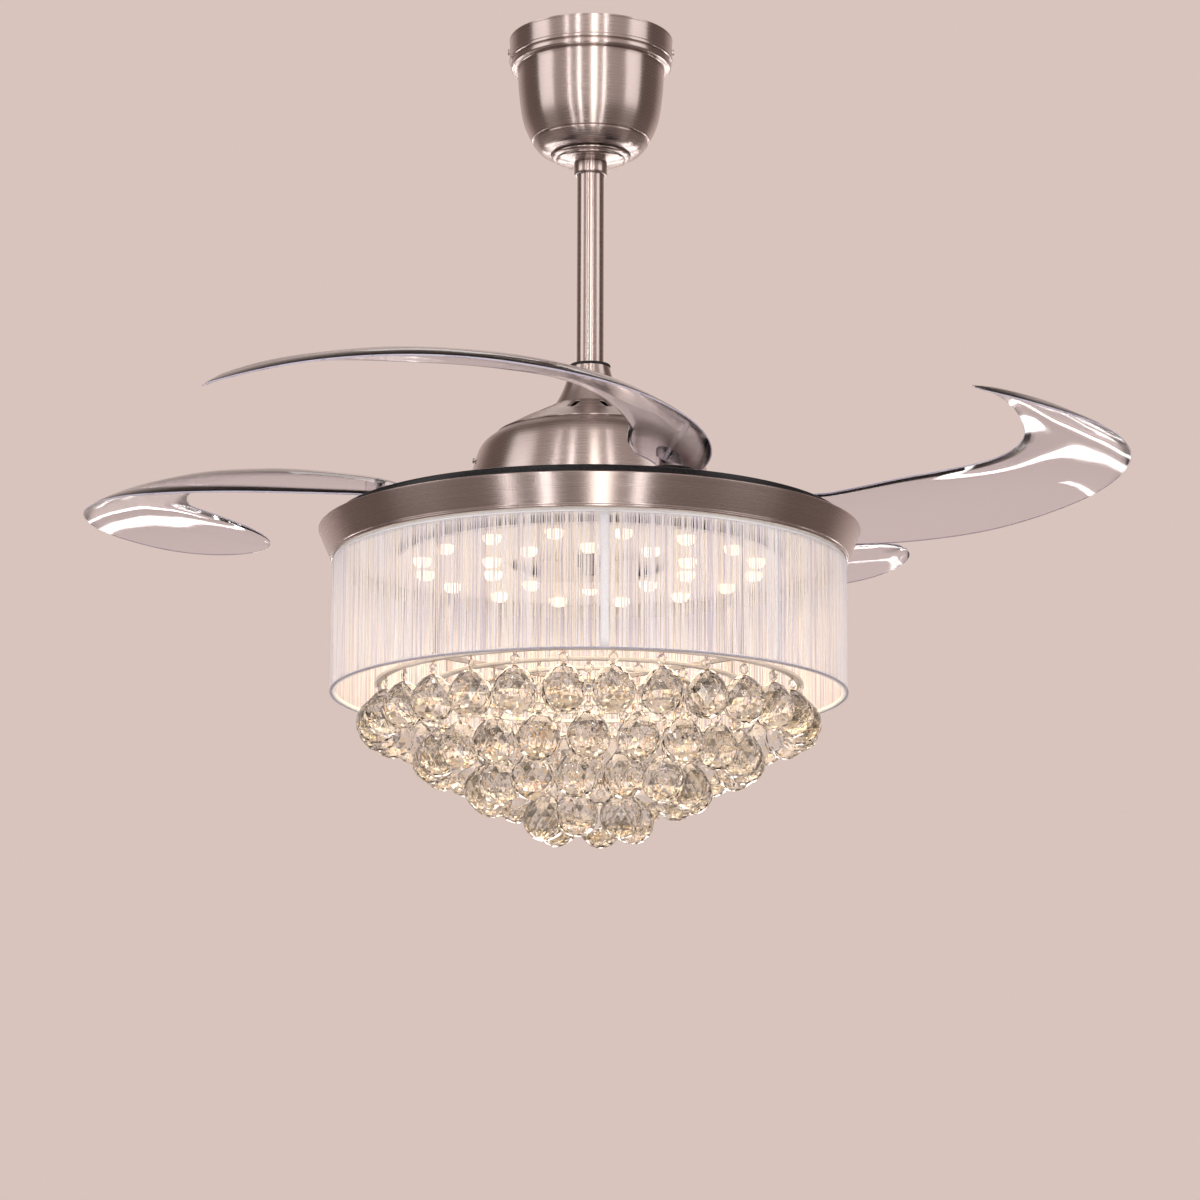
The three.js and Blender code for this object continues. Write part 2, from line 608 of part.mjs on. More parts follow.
// ---------------------------------------------------------------- coupler cover, vent ring, dome
function addCouplerCover() {
  addPiece("coupler_gasket", ring(
    rodBoreRadius,
    rodBoreRadius + GASKET_WALL,
    couplerTopDepth - CONTACT_GAP - GASKET_HEIGHT,
    couplerTopDepth - CONTACT_GAP,
    SMALL_SEGMENTS,
  ), blackRubber());
  const outer = smoothProfile([
    [couplerTopRadius, couplerTopDepth],
    [couplerTopRadius + COUPLER_FLARE * 0.2, couplerTopDepth + COUPLER_HEIGHT * 0.3],
    [couplerTopRadius + COUPLER_FLARE * 0.52, couplerTopDepth + COUPLER_HEIGHT * 0.64],
    [couplerBaseRadius, couplerBaseDepth],
  ], 4);
  addPiece("coupler_cover", shell(outer, COUPLER_WALL, SMALL_SEGMENTS), brushedNickel());
}

function ventSlot(bearing) {
  const slot = box([VENT_LENGTH, VENT_WIDTH, VENT_HEIGHT + 10], [
    (ventOuterRadius + ventInnerRadius) / 2,
    0,
    -(couplerBaseDepth + ventBaseDepth) / 2,
  ]);
  slot.rotateZ(degrees(bearing));
  return toSolid(slot);
}

function addVentRing() {
  const top = couplerBaseDepth + CONTACT_GAP;
  const outer = [
    [couplerBaseRadius - 3, top],
    [couplerBaseRadius + 1, top],
    [ventOuterRadius - 1, couplerBaseDepth + VENT_SLOT_DROP],
    [ventBaseRadius, ventBaseDepth],
  ];
  const inner = [
    [ventBaseRadius - DOME_WALL, ventBaseDepth],
    [ventOuterRadius - 2, couplerBaseDepth + VENT_SLOT_DROP + DOME_WALL],
    [couplerBaseRadius - 3, top + DOME_WALL * 1.5],
  ];
  const slots = Array.from({ length: VENT_COUNT }, (_, i) => ventSlot(((i + 0.5) * 360) / VENT_COUNT));
  const wall = toSolid(revolve([...outer, ...inner, outer[0]], DOME_SEGMENTS));
  addPiece("dome_vent_ring", toGeometry(cut(wall, slots)), brushedNickel());
}

const domeProfile = smoothProfile([
  [ventBaseRadius + 0.5, ventBaseDepth + CONTACT_GAP],
  [(ventBaseRadius + domeShoulderRadius) / 2 + 3.5, ventBaseDepth + 11],
  [domeShoulderRadius, domeShoulderDepth],
  [domeBaseRadius - 3, (domeShoulderDepth + domeBaseDepth) / 2],
  [domeBaseRadius, domeBaseDepth],
], 6);
const yokePlateRadius = radiusAt(domeProfile, yokePlateDepth) - YOKE_DOME_GAP;
const yokeTabInside = yokePlateRadius + YOKE_SHELF - YOKE_PLATE_THICKNESS;
const bellRadius = yokeTabInside - BELL_TAB_GAP;

function domeScrewBar(radius, from, to, bearing) {
  const level = -domeScrewDepth;
  return bar(radius, [...onCircle(from, bearing), level], [...onCircle(to, bearing), level]);
}

function addDome() {
  const wall = toSolid(shell(domeProfile, DOME_WALL, DOME_SEGMENTS));
  const bearings = Array.from({ length: DOME_SCREW_COUNT }, (_, i) => (
    DOME_SCREW_BEARING + (i * 360) / DOME_SCREW_COUNT
  ));
  const hole = DOME_SCREW_RADIUS / 2 + CONTACT_GAP;
  const holes = bearings.map((b) => toSolid(domeScrewBar(hole, yokePlateRadius, domeBaseRadius, b)));
  addPiece("motor_dome", toGeometry(cut(wall, holes)), brushedNickel());
  bearings.forEach((bearing, i) => {
    const under = radiusAt(domeProfile, domeScrewDepth) + 1.2;
    const head = toSolid(domeScrewBar(DOME_SCREW_RADIUS, under, under + DOME_SCREW_HEAD, bearing));
    const shank = toSolid(domeScrewBar(DOME_SCREW_RADIUS / 2, under - DOME_SCREW_LENGTH, under + 1, bearing));
    addPiece(`dome_screw_${i + 1}`, toGeometry(head.add(shank)), steel());
  });
  return bearings;
}

// ---------------------------------------------------------------- motor
function addYoke(tabBearings) {
  const shaftHole = SHAFT_RADIUS + CONTACT_GAP;
  const hubRadius = shaftHole + YOKE_HUB_WALL;
  const shoulder = rodBaseDepth + CONTACT_GAP;
  const body = revolve([
    [rodBoreRadius, yokeTopDepth],
    [yokeRadius, yokeTopDepth],
    [yokeRadius, shoulder + 6],
    [hubRadius, shoulder + 10],
    [hubRadius, yokePlateDepth],
    [yokePlateRadius, yokePlateDepth],
    [yokePlateRadius, yokePlateBase],
    [shaftHole, yokePlateBase],
    [shaftHole, shoulder],
    [rodBoreRadius, shoulder],
    [rodBoreRadius, yokeTopDepth],
  ], SMALL_SEGMENTS);
  const tabLength = domeScrewDepth - yokePlateDepth + YOKE_TAB_MARGIN;
  const tabs = tabBearings.map((bearing) => {
    const shelf = box([YOKE_SHELF * 2, YOKE_TAB_WIDTH, YOKE_PLATE_THICKNESS], [
      yokePlateRadius,
      0,
      -yokePlateDepth - YOKE_PLATE_THICKNESS / 2,
    ]);
    const tab = box([YOKE_PLATE_THICKNESS, YOKE_TAB_WIDTH, tabLength], [
      yokeTabInside + YOKE_PLATE_THICKNESS / 2,
      0,
      -yokePlateDepth - tabLength / 2,
    ]);
    shelf.rotateZ(degrees(bearing));
    tab.rotateZ(degrees(bearing));
    return toSolid(shelf).add(toSolid(tab));
  });
  const pinHole = toSolid(bar(
    PIN_RADIUS + CONTACT_GAP,
    [0, -yokeRadius - 1, -yokePinDepth],
    [0, yokeRadius + 1, -yokePinDepth],
  ));
  const screwHoles = tabBearings.map((bearing) => toSolid(domeScrewBar(
    DOME_SCREW_RADIUS / 2 + CONTACT_GAP,
    yokePlateRadius,
    domeBaseRadius,
    bearing,
  )));
  const casting = joined([toSolid(body), ...tabs]);
  addPiece("motor_yoke", toGeometry(cut(casting, [pinHole, ...screwHoles])), steel());
  addPiece("yoke_pin", bar(
    PIN_RADIUS,
    [0, -yokeRadius, -yokePinDepth],
    [0, yokeRadius, -yokePinDepth],
  ), steel());
}

function statorOutline(radius) {
  const outline = new THREE.Shape();
  const pitch = 360 / STATOR_TEETH;
  for (let i = 0; i < STATOR_TEETH; i += 1) {
    const middle = i * pitch;
    const stops = [
      [radius, -0.4],
      [radius, 0.4],
      [radius * 0.86, 0.4],
      [radius * 0.84, 0.17],
      [radius * 0.45, 0.3],
      [radius * 0.45, 0.7],
      [radius * 0.84, 0.83],
      [radius * 0.86, 0.6],
    ];
    stops.forEach(([r, share], j) => {
      const [x, y] = onCircle(r, middle + share * pitch);
      if (i === 0 && j === 0) outline.moveTo(x, y);
      else outline.lineTo(x, y);
    });
  }
  const bore = new THREE.Path();
  bore.absarc(0, 0, SHAFT_RADIUS + CONTACT_GAP, 0, Math.PI * 2, true);
  outline.holes.push(bore);
  return outline;
}

function plateFrom(outline, topDepth, thickness, curveSegments) {
  const options = { depth: thickness, bevelEnabled: false, curveSegments };
  const geometry = new THREE.ExtrudeGeometry(outline, options);
  geometry.translate(0, 0, -topDepth - thickness);
  return geometry;
}

const bellInside = bellRadius - BELL_WALL;

function addMotor(rotor) {
  addPiece("motor_shaft", ring(
    SHAFT_RADIUS - SHAFT_WALL,
    SHAFT_RADIUS,
    rodBaseDepth + SHAFT_ROD_GAP,
    shaftBaseDepth,
    SMALL_SEGMENTS,
  ), steel());
  const magnetInside = bellInside - CONTACT_GAP - MAGNET_THICKNESS;
  const stator = statorOutline(magnetInside - AIR_GAP);
  addPiece(
    "motor_stator",
    plateFrom(stator, statorDepth - STATOR_HEIGHT / 2, STATOR_HEIGHT, 8),
    laminations(),
  );
  addPiece("rotor_magnets", ring(
    magnetInside,
    bellInside - CONTACT_GAP,
    statorDepth - MAGNET_HEIGHT / 2,
    statorDepth + MAGNET_HEIGHT / 2,
    DOME_SEGMENTS,
  ), magnetGrey(), rotor);
  const bellTop = [[bearingHole, bellTopDepth], [bellRadius, bellTopDepth]];
  addPiece("rotor_bell", revolve([
    ...bellTop,
    [bellRadius, bellBaseDepth - BELL_WALL],
    [bellRadius + BELL_FLANGE, bellBaseDepth - BELL_WALL],
    [bellRadius + BELL_FLANGE, bellBaseDepth],
    [bellInside, bellBaseDepth],
    [bellInside, bellTopDepth + BELL_WALL],
    [bearingHole, bellTopDepth + BELL_WALL],
    bellTop[0],
  ], DOME_SEGMENTS), steel(), rotor);
  const bearingTops = [
    bellTopDepth + (BELL_WALL - BEARING_HEIGHT) / 2 + 2,
    discTopDepth + (DISC_THICKNESS - BEARING_HEIGHT) / 2,
  ];
  ["bearing_upper", "bearing_lower"].forEach((name, i) => {
    const top = bearingTops[i];
    const bearing = ring(bearingBore, bearingRadius, top, top + BEARING_HEIGHT, SMALL_SEGMENTS);
    addPiece(name, bearing, steel(), rotor);
  });
}

// ---------------------------------------------------------------- rotor disc
const pinionRadius = (GEAR_MODULE * PINION_TEETH) / 2;
const syncPitchRadius = pivotRadius - pinionRadius;
const syncTeeth = Math.round((2 * syncPitchRadius) / GEAR_MODULE);
const syncInside = syncPitchRadius - GEAR_MODULE * 1.25 - SYNC_RING_WIDTH;

function addRotorDisc(rotor) {
  const rimBase = discTopDepth + DISC_RIM_HEIGHT;
  const tray = toSolid(revolve([
    [bearingHole, discTopDepth],
    [DISC_RADIUS - 2, discTopDepth],
    [DISC_RADIUS, discTopDepth + 1.5],
    [DISC_RADIUS, rimBase],
    [DISC_RADIUS - DISC_RIM_WALL, rimBase],
    [DISC_RADIUS - DISC_RIM_WALL, discBaseDepth],
    [bearingHole, discBaseDepth],
    [bearingHole, discTopDepth],
  ], BIG_SEGMENTS));
  const axleHoles = bladeBearings.map((bearing) => {
    const [x, y] = onCircle(pivotRadius, bearing);
    const hole = AXLE_RADIUS + RUNNING_GAP;
    return toSolid(bar(hole, [x, y, -discTopDepth + 2], [x, y, -discBaseDepth - 2], SMALL_SEGMENTS));
  });
  const studs = bladeBearings.flatMap((bearing) => {
    const [x, y] = onCircle(syncInside - STUD_GAP - STUD_RADIUS, bearing + 180 / BLADE_COUNT);
    const headTop = -gearBaseDepth - RUNNING_GAP;
    const headRadius = STUD_RADIUS + STUD_GAP + STUD_HOLD;
    return [
      toSolid(bar(STUD_RADIUS, [x, y, -discBaseDepth + 1], [x, y, headTop - 1], 6)),
      toSolid(bar(headRadius, [x, y, headTop], [x, y, headTop - STUD_HEAD_HEIGHT], 6)),
    ];
  });
  addPiece("rotor_disc", toGeometry(joined([cut(tray, axleHoles), ...studs])), blackCoat(), rotor);
}

// ---------------------------------------------------------------- blades
// A blade is drawn in the frame of its arm: the pivot lies on +X, and the fold centre is the
// point that comes onto the rotor's axis when the blade has turned through the fold angle.
const foldCentre = new THREE.Vector2(
  pivotRadius * (1 - Math.cos(degrees(FOLD_ANGLE))),
  -pivotRadius * Math.sin(degrees(FOLD_ANGLE)),
);
const bladeMidRadius = pivotRadius - BLADE_PIVOT_OFFSET;
const tongueShare = BLADE_TONGUE_SWEEP / BLADE_SWEEP;
const easedRise = (share) => (1 - Math.cos(Math.PI * THREE.MathUtils.clamp(share, 0, 1))) / 2;

function chordWidth(share) {
  if (share < 0) {
    return BLADE_NECK_WIDTH - (BLADE_NECK_WIDTH - BLADE_TONGUE_WIDTH) * (share / tongueShare) ** 2;
  }
  if (share < BLADE_WIDEST_AT) {
    const growth = Math.sin((Math.PI / 2) * (share / BLADE_WIDEST_AT));
    return BLADE_NECK_WIDTH + (BLADE_WIDTH - BLADE_NECK_WIDTH) * growth;
  }
  const taper = (share - BLADE_WIDEST_AT) / (1 - BLADE_WIDEST_AT);
  return BLADE_WIDTH * Math.sqrt(Math.max(0, 1 - taper ** BLADE_TIP_FULLNESS));
}

function chordPitch(share) {
  const middle = 0.6;
  if (share < middle) {
    const eased = easedRise(share / middle);
    return BLADE_ROOT_PITCH + (BLADE_MIDDLE_PITCH - BLADE_ROOT_PITCH) * eased;
  }
  const eased = easedRise((share - middle) / (1 - middle));
  return BLADE_MIDDLE_PITCH + (BLADE_TIP_PITCH - BLADE_MIDDLE_PITCH) * eased;
}

// share runs along the blade, 0 at the neck and 1 at the tip; across runs from -0.5 at the
// inner edge to 0.5 at the outer edge.
function bladePoint(share, across) {
  const bearing = degrees(BLADE_START_BEARING - BLADE_SWEEP * share);
  const middle = bladeMidRadius
    + BLADE_ROOT_FLARE * Math.min(Math.max(1 - share / 0.2, 0), 1) ** 2
    + BLADE_TIP_FLARE * Math.max((share - 0.7) / 0.3, 0) ** 2;
  const width = chordWidth(share);
  const radius = middle + width * across;
  const height = BLADE_ROOT_HEIGHT
    + BLADE_RISE * share
    + BLADE_ARCH * Math.sin(Math.PI * Math.max(share, 0))
    - width * across * Math.tan(degrees(chordPitch(share)))
    + BLADE_CAMBER * width * (1 - 4 * across * across);
  return new THREE.Vector3(
    foldCentre.x + radius * Math.cos(bearing),
    foldCentre.y + radius * Math.sin(bearing),
    -discTopDepth + height,
  );
}

function bladeSheet(lower, upper, lengthSteps, widthSteps) {
  const points = [];
  const faces = [];
  for (let i = 0; i <= lengthSteps; i += 1) {
    const run = i / lengthSteps;
    const share = -tongueShare + (1 + tongueShare) * (run + 0.12 * Math.sin(Math.PI * run) * run);
    for (let j = 0; j <= widthSteps; j += 1) {
      const point = bladePoint(Math.min(share, 1), j / widthSteps - 0.5);
      points.push(point.x, point.y, point.z + upper, point.x, point.y, point.z + lower);
    }
  }
  const at = (i, j, side) => 2 * (i * (widthSteps + 1) + j) + side;
  const quad = (a, b, c, d) => faces.push(a, b, c, a, c, d);
  for (let i = 0; i < lengthSteps; i += 1) {
    for (let j = 0; j < widthSteps; j += 1) {
      quad(at(i, j, 0), at(i, j + 1, 0), at(i + 1, j + 1, 0), at(i + 1, j, 0));
      quad(at(i, j, 1), at(i + 1, j, 1), at(i + 1, j + 1, 1), at(i, j + 1, 1));
    }
    quad(at(i, 0, 0), at(i + 1, 0, 0), at(i + 1, 0, 1), at(i, 0, 1));
    const edge = widthSteps;
    quad(at(i, edge, 0), at(i, edge, 1), at(i + 1, edge, 1), at(i + 1, edge, 0));
  }
  for (let j = 0; j < widthSteps; j += 1) {
    quad(at(0, j, 0), at(0, j, 1), at(0, j + 1, 1), at(0, j + 1, 0));
    const end = lengthSteps;
    quad(at(end, j, 0), at(end, j + 1, 0), at(end, j + 1, 1), at(end, j, 1));
  }
  const sheet = new THREE.BufferGeometry();
  sheet.setAttribute("position", new THREE.Float32BufferAttribute(points, 3));
  sheet.setIndex(faces);
  return sheet;
}

// Where the screw crosses the blade over the pivot, and the direction square to the blade there.
function rootSeat() {
  const toPivot = new THREE.Vector2(pivotRadius, 0).sub(foldCentre);
  const pivotBearing = THREE.MathUtils.radToDeg(toPivot.angle());
  const share = (BLADE_START_BEARING - pivotBearing) / BLADE_SWEEP;
  const middle = bladeMidRadius + BLADE_ROOT_FLARE;
  const across = (toPivot.length() - middle) / chordWidth(share);
  const centre = bladePoint(share, across);
  const along = bladePoint(share + 0.01, across).sub(centre);
  const over = bladePoint(share, across + 0.05).sub(centre);
  const normal = over.cross(along).normalize();
  if (normal.z < 0) normal.negate();
  return { centre, normal };
}

const seat = rootSeat();
const alongScrew = (distance) => seat.centre.clone().addScaledVector(seat.normal, distance).toArray();

function bladeGeometry() {
  const half = BLADE_THICKNESS / 2;
  const sheet = toSolid(bladeSheet(-half, half, BLADE_LENGTH_STEPS, BLADE_WIDTH_STEPS));
  const hole = toSolid(bar(BLADE_SCREW_RADIUS + CONTACT_GAP, alongScrew(-8), alongScrew(8)));
  return toGeometry(sheet.subtract(hole));
}

function hubGeometry() {
  const base = -discTopDepth + HUB_CLEARANCE;
  const flangeTop = [pivotRadius, 0, base + HUB_HEIGHT];
  const flange = toSolid(bar(HUB_RADIUS, [pivotRadius, 0, base], flangeTop, HUB_SEGMENTS));
  const riser = toSolid(box(
    [RISER_WIDTH, RISER_LENGTH, RISER_STOCK],
    [pivotRadius, 0, base + RISER_STOCK / 2],
  ));
  const axleEnd = [pivotRadius, 0, -gearBaseDepth - AXLE_PROUD];
  const axle = toSolid(bar(AXLE_RADIUS, [pivotRadius, 0, base + 1], axleEnd, HUB_SEGMENTS));
  const half = BLADE_THICKNESS / 2;
  const above = toSolid(bladeSheet(-half - CONTACT_GAP, RISER_TRIM, BLADE_LENGTH_STEPS, BLADE_WIDTH_STEPS));
  const holeEnd = alongScrew(-BLADE_SCREW_LENGTH - 1);
  const hole = toSolid(bar(BLADE_SCREW_RADIUS + CONTACT_GAP, holeEnd, alongScrew(8)));
  return toGeometry(cut(joined([flange, riser, axle]), [above, hole]));
}

function screwGeometry() {
  const top = BLADE_THICKNESS / 2 + CONTACT_GAP;
  const headTop = alongScrew(top + BLADE_SCREW_HEAD_HEIGHT);
  const head = toSolid(bar(BLADE_SCREW_HEAD_RADIUS, alongScrew(top), headTop));
  const shank = toSolid(bar(BLADE_SCREW_RADIUS, alongScrew(-BLADE_SCREW_LENGTH), alongScrew(top + 1)));
  return toGeometry(head.add(shank));
}

// ---------------------------------------------------------------- gears
// Half widths of a tooth, as shares of the pitch, at the root, pitch and tip circles.
const TOOTH_STEPS = [
  [-1.15, TOOTH_SHARE * 0.72],
  [0.9, TOOTH_SHARE * 0.3],
];

function gearOutline(teeth, pitchRadius, hasTooth, turn) {
  const outline = new THREE.Shape();
  const pitch = 360 / teeth;
  let started = false;
  const lineTo = (radius, bearing) => {
    const [x, y] = onCircle(radius, bearing);
    if (started) outline.lineTo(x, y);
    else outline.moveTo(x, y);
    started = true;
  };
  const [[rootStep, rootHalf], [tipStep, tipHalf]] = TOOTH_STEPS;
  const root = pitchRadius + rootStep * GEAR_MODULE;
  const tip = pitchRadius + tipStep * GEAR_MODULE;
  for (let i = 0; i < teeth; i += 1) {
    const middle = (i + turn) * pitch;
    if (hasTooth(i, middle)) {
      lineTo(root, middle - rootHalf * pitch);
      lineTo(tip, middle - tipHalf * pitch);
      lineTo(tip, middle + tipHalf * pitch);
      lineTo(root, middle + rootHalf * pitch);
    } else if (i % 3 === 0) {
      lineTo(root, middle);
    }
  }
  return outline;
}

function pinionGeometry() {
  const reachBack = -30;
  const reachOn = FOLD_ANGLE + 30;
  const facing = (i, middle) => {
    const beyond = ((middle - 180 + 540) % 360) - 180;
    return beyond > reachBack && beyond < reachOn;
  };
  const outline = gearOutline(PINION_TEETH, pinionRadius, facing, 0);
  const bore = new THREE.Path();
  bore.absarc(0, 0, AXLE_RADIUS + CONTACT_GAP, 0, Math.PI * 2, true);
  outline.holes.push(bore);
  const geometry = plateFrom(outline, gearTopDepth, GEAR_THICKNESS, 10);
  geometry.translate(pivotRadius, 0, 0);
  return geometry;
}

const syncTurn = (FOLD_ANGLE * pinionRadius) / syncPitchRadius;

function syncRingGeometry() {
  const quarter = 360 / BLADE_COUNT;
  const slack = 3.6;
  const facing = (i, middle) => {
    const beyond = ((middle % quarter) + quarter) % quarter;
    return beyond < slack || beyond > quarter - syncTurn - slack;
  };
  const outline = gearOutline(syncTeeth, syncPitchRadius, facing, 0.5);
  const hole = new THREE.Path();
  hole.absarc(0, 0, syncInside, 0, Math.PI * 2, true);
  outline.holes.push(hole);
  const geometry = plateFrom(outline, gearTopDepth, GEAR_THICKNESS, 12);
  geometry.rotateZ(degrees(PIVOT_BEARING));
  return geometry;
}

class SpringPath extends THREE.Curve {
  getPoint(share, target = new THREE.Vector3()) {
    const turn = share * SPRING_TURNS * Math.PI * 2;
    const top = -discBaseDepth - CONTACT_GAP - SPRING_WIRE_RADIUS;
    const base = -gearTopDepth + CONTACT_GAP + SPRING_WIRE_RADIUS;
    return target.set(
      pivotRadius + springCoilRadius * Math.cos(turn),
      springCoilRadius * Math.sin(turn),
      top + (base - top) * share,
    );
  }
}

function springGeometry() {
  const wire = new THREE.Shape();
  for (let i = 0; i < 4; i += 1) {
    const [x, y] = onCircle(SPRING_WIRE_RADIUS, 45 + i * 90);
    if (i === 0) wire.moveTo(x, y);
    else wire.lineTo(x, y);
  }
  const extrudePath = new SpringPath();
  return new THREE.ExtrudeGeometry(wire, { steps: 18, extrudePath, bevelEnabled: false });
}

function addBlades(rotor) {
  bladeBearings.forEach((bearing, i) => {
    const arm = new THREE.Group();
    arm.rotation.z = degrees(bearing);
    rotor.add(arm);
    addPiece(`blade_${i + 1}`, bladeGeometry(), clearAcrylic(), arm);
    addPiece(`blade_hub_${i + 1}`, hubGeometry(), blackCoat(), arm);
    addPiece(`blade_screw_${i + 1}`, screwGeometry(), steel(), arm);
    addPiece(`blade_pinion_${i + 1}`, pinionGeometry(), nylon(), arm);
    addPiece(`blade_spring_${i + 1}`, springGeometry(), steel(), arm);
  });
  addPiece("sync_ring", syncRingGeometry(), nylon(), rotor);
}

// ---------------------------------------------------------------- light pan and band
function addLightPan() {
  const slope = BAND_TAPER / BAND_HEIGHT;
  const bandInsideAt = (depth) => bandBaseRadius + slope * (bandBaseDepth - depth) - BAND_WALL;
  const rim = bandInsideAt(panRimDepth) - CONTACT_GAP;
  const bore = SHAFT_RADIUS + CONTACT_GAP;
  addPiece("light_pan", revolve([
    [bore, panDepth],
    [rim, panDepth],
    [rim, panRimDepth],
    [rim - PAN_THICKNESS, panRimDepth],
    [rim - PAN_THICKNESS, panBase],
    [bore, panBase],
    [bore, panDepth],
  ], BIG_SEGMENTS), whiteCoat());
  addPiece("nickel_band", revolve([
    [bandTopRadius - BAND_LIP, bandTopDepth],
    [bandTopRadius, bandTopDepth],
    [bandBaseRadius, bandBaseDepth],
    [bandBaseRadius - BAND_WALL, bandBaseDepth],
    [bandTopRadius - BAND_WALL - 0.5, bandTopDepth + BAND_WALL],
    [bandTopRadius - BAND_LIP, bandTopDepth + BAND_WALL],
    [bandTopRadius - BAND_LIP, bandTopDepth],
  ], BIG_SEGMENTS), brushedNickel());
  const nut = toSolid(disc(nutCornerRadius, nutTopDepth, nutBaseDepth, 6));
  const nutBore = toSolid(disc(bore, nutTopDepth - 1, nutBaseDepth + 1, SMALL_SEGMENTS));
  addPiece("shaft_nut", toGeometry(nut.subtract(nutBore)), steel());
  const driverDepth = panBase + CONTACT_GAP + DRIVER_SIZE[2] / 2;
  addPiece("led_driver", box(DRIVER_SIZE, [0, driverOffset, -driverDepth]), whitePlastic());
}

function lens(radius, bearing) {
  const dome = revolve([
    [0, ledPlateBase - 1],
    [LENS_RADIUS, ledPlateBase - 1],
    [LENS_RADIUS * 0.7, ledPlateBase + LENS_HEIGHT],
    [0, ledPlateBase + LENS_HEIGHT],
  ], 6);
  const [x, y] = onCircle(radius, bearing);
  dome.translate(x, y, 0);
  return toSolid(dome);
}

function addLedPlate() {
  const plate = toSolid(ring(ledPlateInner, ledPlateOuter, ledPlateDepth, ledPlateBase, DOME_SEGMENTS));
  const outerRing = ledPlateOuter - LED_OUTER_INSET;
  const innerRing = ledPlateInner + LED_INNER_INSET;
  const lenses = [[outerRing, LED_OUTER_COUNT], [innerRing, LED_INNER_COUNT]].flatMap(([radius, count]) => (
    Array.from({ length: count }, (_, i) => lens(radius, ((i + 0.5) * 360) / count))
  ));
  const spacers = Array.from({ length: LED_SPACER_COUNT }, (_, i) => {
    const [x, y] = onCircle((outerRing + innerRing) / 2, (i * 360) / LED_SPACER_COUNT);
    return toSolid(bar(LED_SPACER_RADIUS, [x, y, -ledPlateDepth - 1], [x, y, -panBase - CONTACT_GAP], 8));
  });
  addPiece("led_plate", toGeometry(joined([plate, ...lenses, ...spacers])), whitePlastic());
}

// ---------------------------------------------------------------- shade
function addShade() {
  const wall = ring(shadeInside, shadeRadius, shadeTopDepth, shadeBaseDepth, BIG_SEGMENTS);
  addPiece("shade", wall, shadeThread());
  const outside = shadeInside - CONTACT_GAP;
  const inside = outside - SHADE_RING_WIDTH;
  const topRing = panRimDepth + CONTACT_GAP;
  addPiece(
    "shade_top_ring",
    ring(inside, outside, topRing, shadeTopDepth + SHADE_RING_HEIGHT, BIG_SEGMENTS),
    whiteCoat(),
  );
  addPiece(
    "shade_bottom_ring",
    ring(inside, outside, shadeBaseDepth - SHADE_RING_HEIGHT, shadeBaseDepth, BIG_SEGMENTS),
    whiteCoat(),
  );
}

// ---------------------------------------------------------------- crystals
// A ball on its string of small beads.
function pendant(tier, index) {
  const bearing = ((index + tier.turn) * 360) / tier.count;
  const [x, y] = onCircle(tier.radius, bearing);
  const middle = -frameDepth - tier.hang;
  const ball = new THREE.IcosahedronGeometry(CRYSTAL_RADIUS, 0);
  ball.rotateX(Math.PI / 2);
  ball.rotateZ(degrees(bearing));
  ball.translate(x, y, middle);
  const stringTop = -frameDepth - TIER_STRIP_THICKNESS / 2;
  const string = bar(HOOK_RADIUS, [x, y, stringTop], [x, y, middle + CRYSTAL_RADIUS * 0.7], 3);
  const room = tier.hang - CRYSTAL_RADIUS - BEAD_RADIUS - BEAD_START;
  const beads = Array.from({ length: Math.floor(room / BEAD_PITCH) + 1 }, (_, i) => {
    const bead = new THREE.OctahedronGeometry(BEAD_RADIUS, 0);
    bead.rotateZ(degrees(bearing));
    bead.translate(x, y, -frameDepth - BEAD_START - i * BEAD_PITCH);
    return toSolid(bead);
  });
  return joined([toSolid(ball), toSolid(string), ...beads]);
}

function addCrystalTiers() {
  tiers.forEach((tier, i) => {
    const strip = toSolid(ring(
      tier.radius - TIER_STRIP_WIDTH / 2,
      tier.radius + TIER_STRIP_WIDTH / 2,
      frameDepth,
      frameDepth + TIER_STRIP_THICKNESS,
      Math.max(tier.count, 16),
    ));
    const pendants = Array.from({ length: tier.count }, (_, index) => pendant(tier, index));
    addPiece(`crystal_tier_${i + 1}`, toGeometry(joined([strip, ...pendants])), crystalGlass());
  });
}

function addCrystalFrame() {
  const armBase = -frameDepth + CONTACT_GAP;
  const armReach = tiers[0].radius + TIER_STRIP_WIDTH / 2;
  const plateTop = frameDepth - CONTACT_GAP - ARM_HEIGHT - PLATE_PROUD;
  const pieces = [toSolid(disc(CENTRE_PLATE_RADIUS, plateTop, frameDepth, HUB_SEGMENTS))];
  for (let i = 0; i < ARM_COUNT; i += 1) {
    const bearing = ((i + 0.5) * 360) / ARM_COUNT;
    const arm = box([armReach, ARM_THICKNESS, ARM_HEIGHT], [armReach / 2, 0, armBase + ARM_HEIGHT / 2]);
    arm.rotateZ(degrees(bearing));
    const [x, y] = onCircle(hangerRodsAt, bearing);
    const rod = bar(
      HANGER_ROD_RADIUS,
      [x, y, -panBase - CONTACT_GAP],
      [x, y, armBase + ARM_HEIGHT / 2],
    );
    pieces.push(toSolid(arm), toSolid(rod));
  }
  addPiece("crystal_frame", toGeometry(joined(pieces)), whiteCoat());
}

// ---------------------------------------------------------------- assembly
const rotorGroup = new THREE.Group();
fan.add(rotorGroup);

addBracket();
addHanger();
addCanopy();
addCollar();
addCouplerCover();
addVentRing();
addYoke(addDome());
addMotor(rotorGroup);
addRotorDisc(rotorGroup);
addBlades(rotorGroup);
addLightPan();
addLedPlate();
addShade();
addCrystalTiers();
addCrystalFrame();

export default fan;
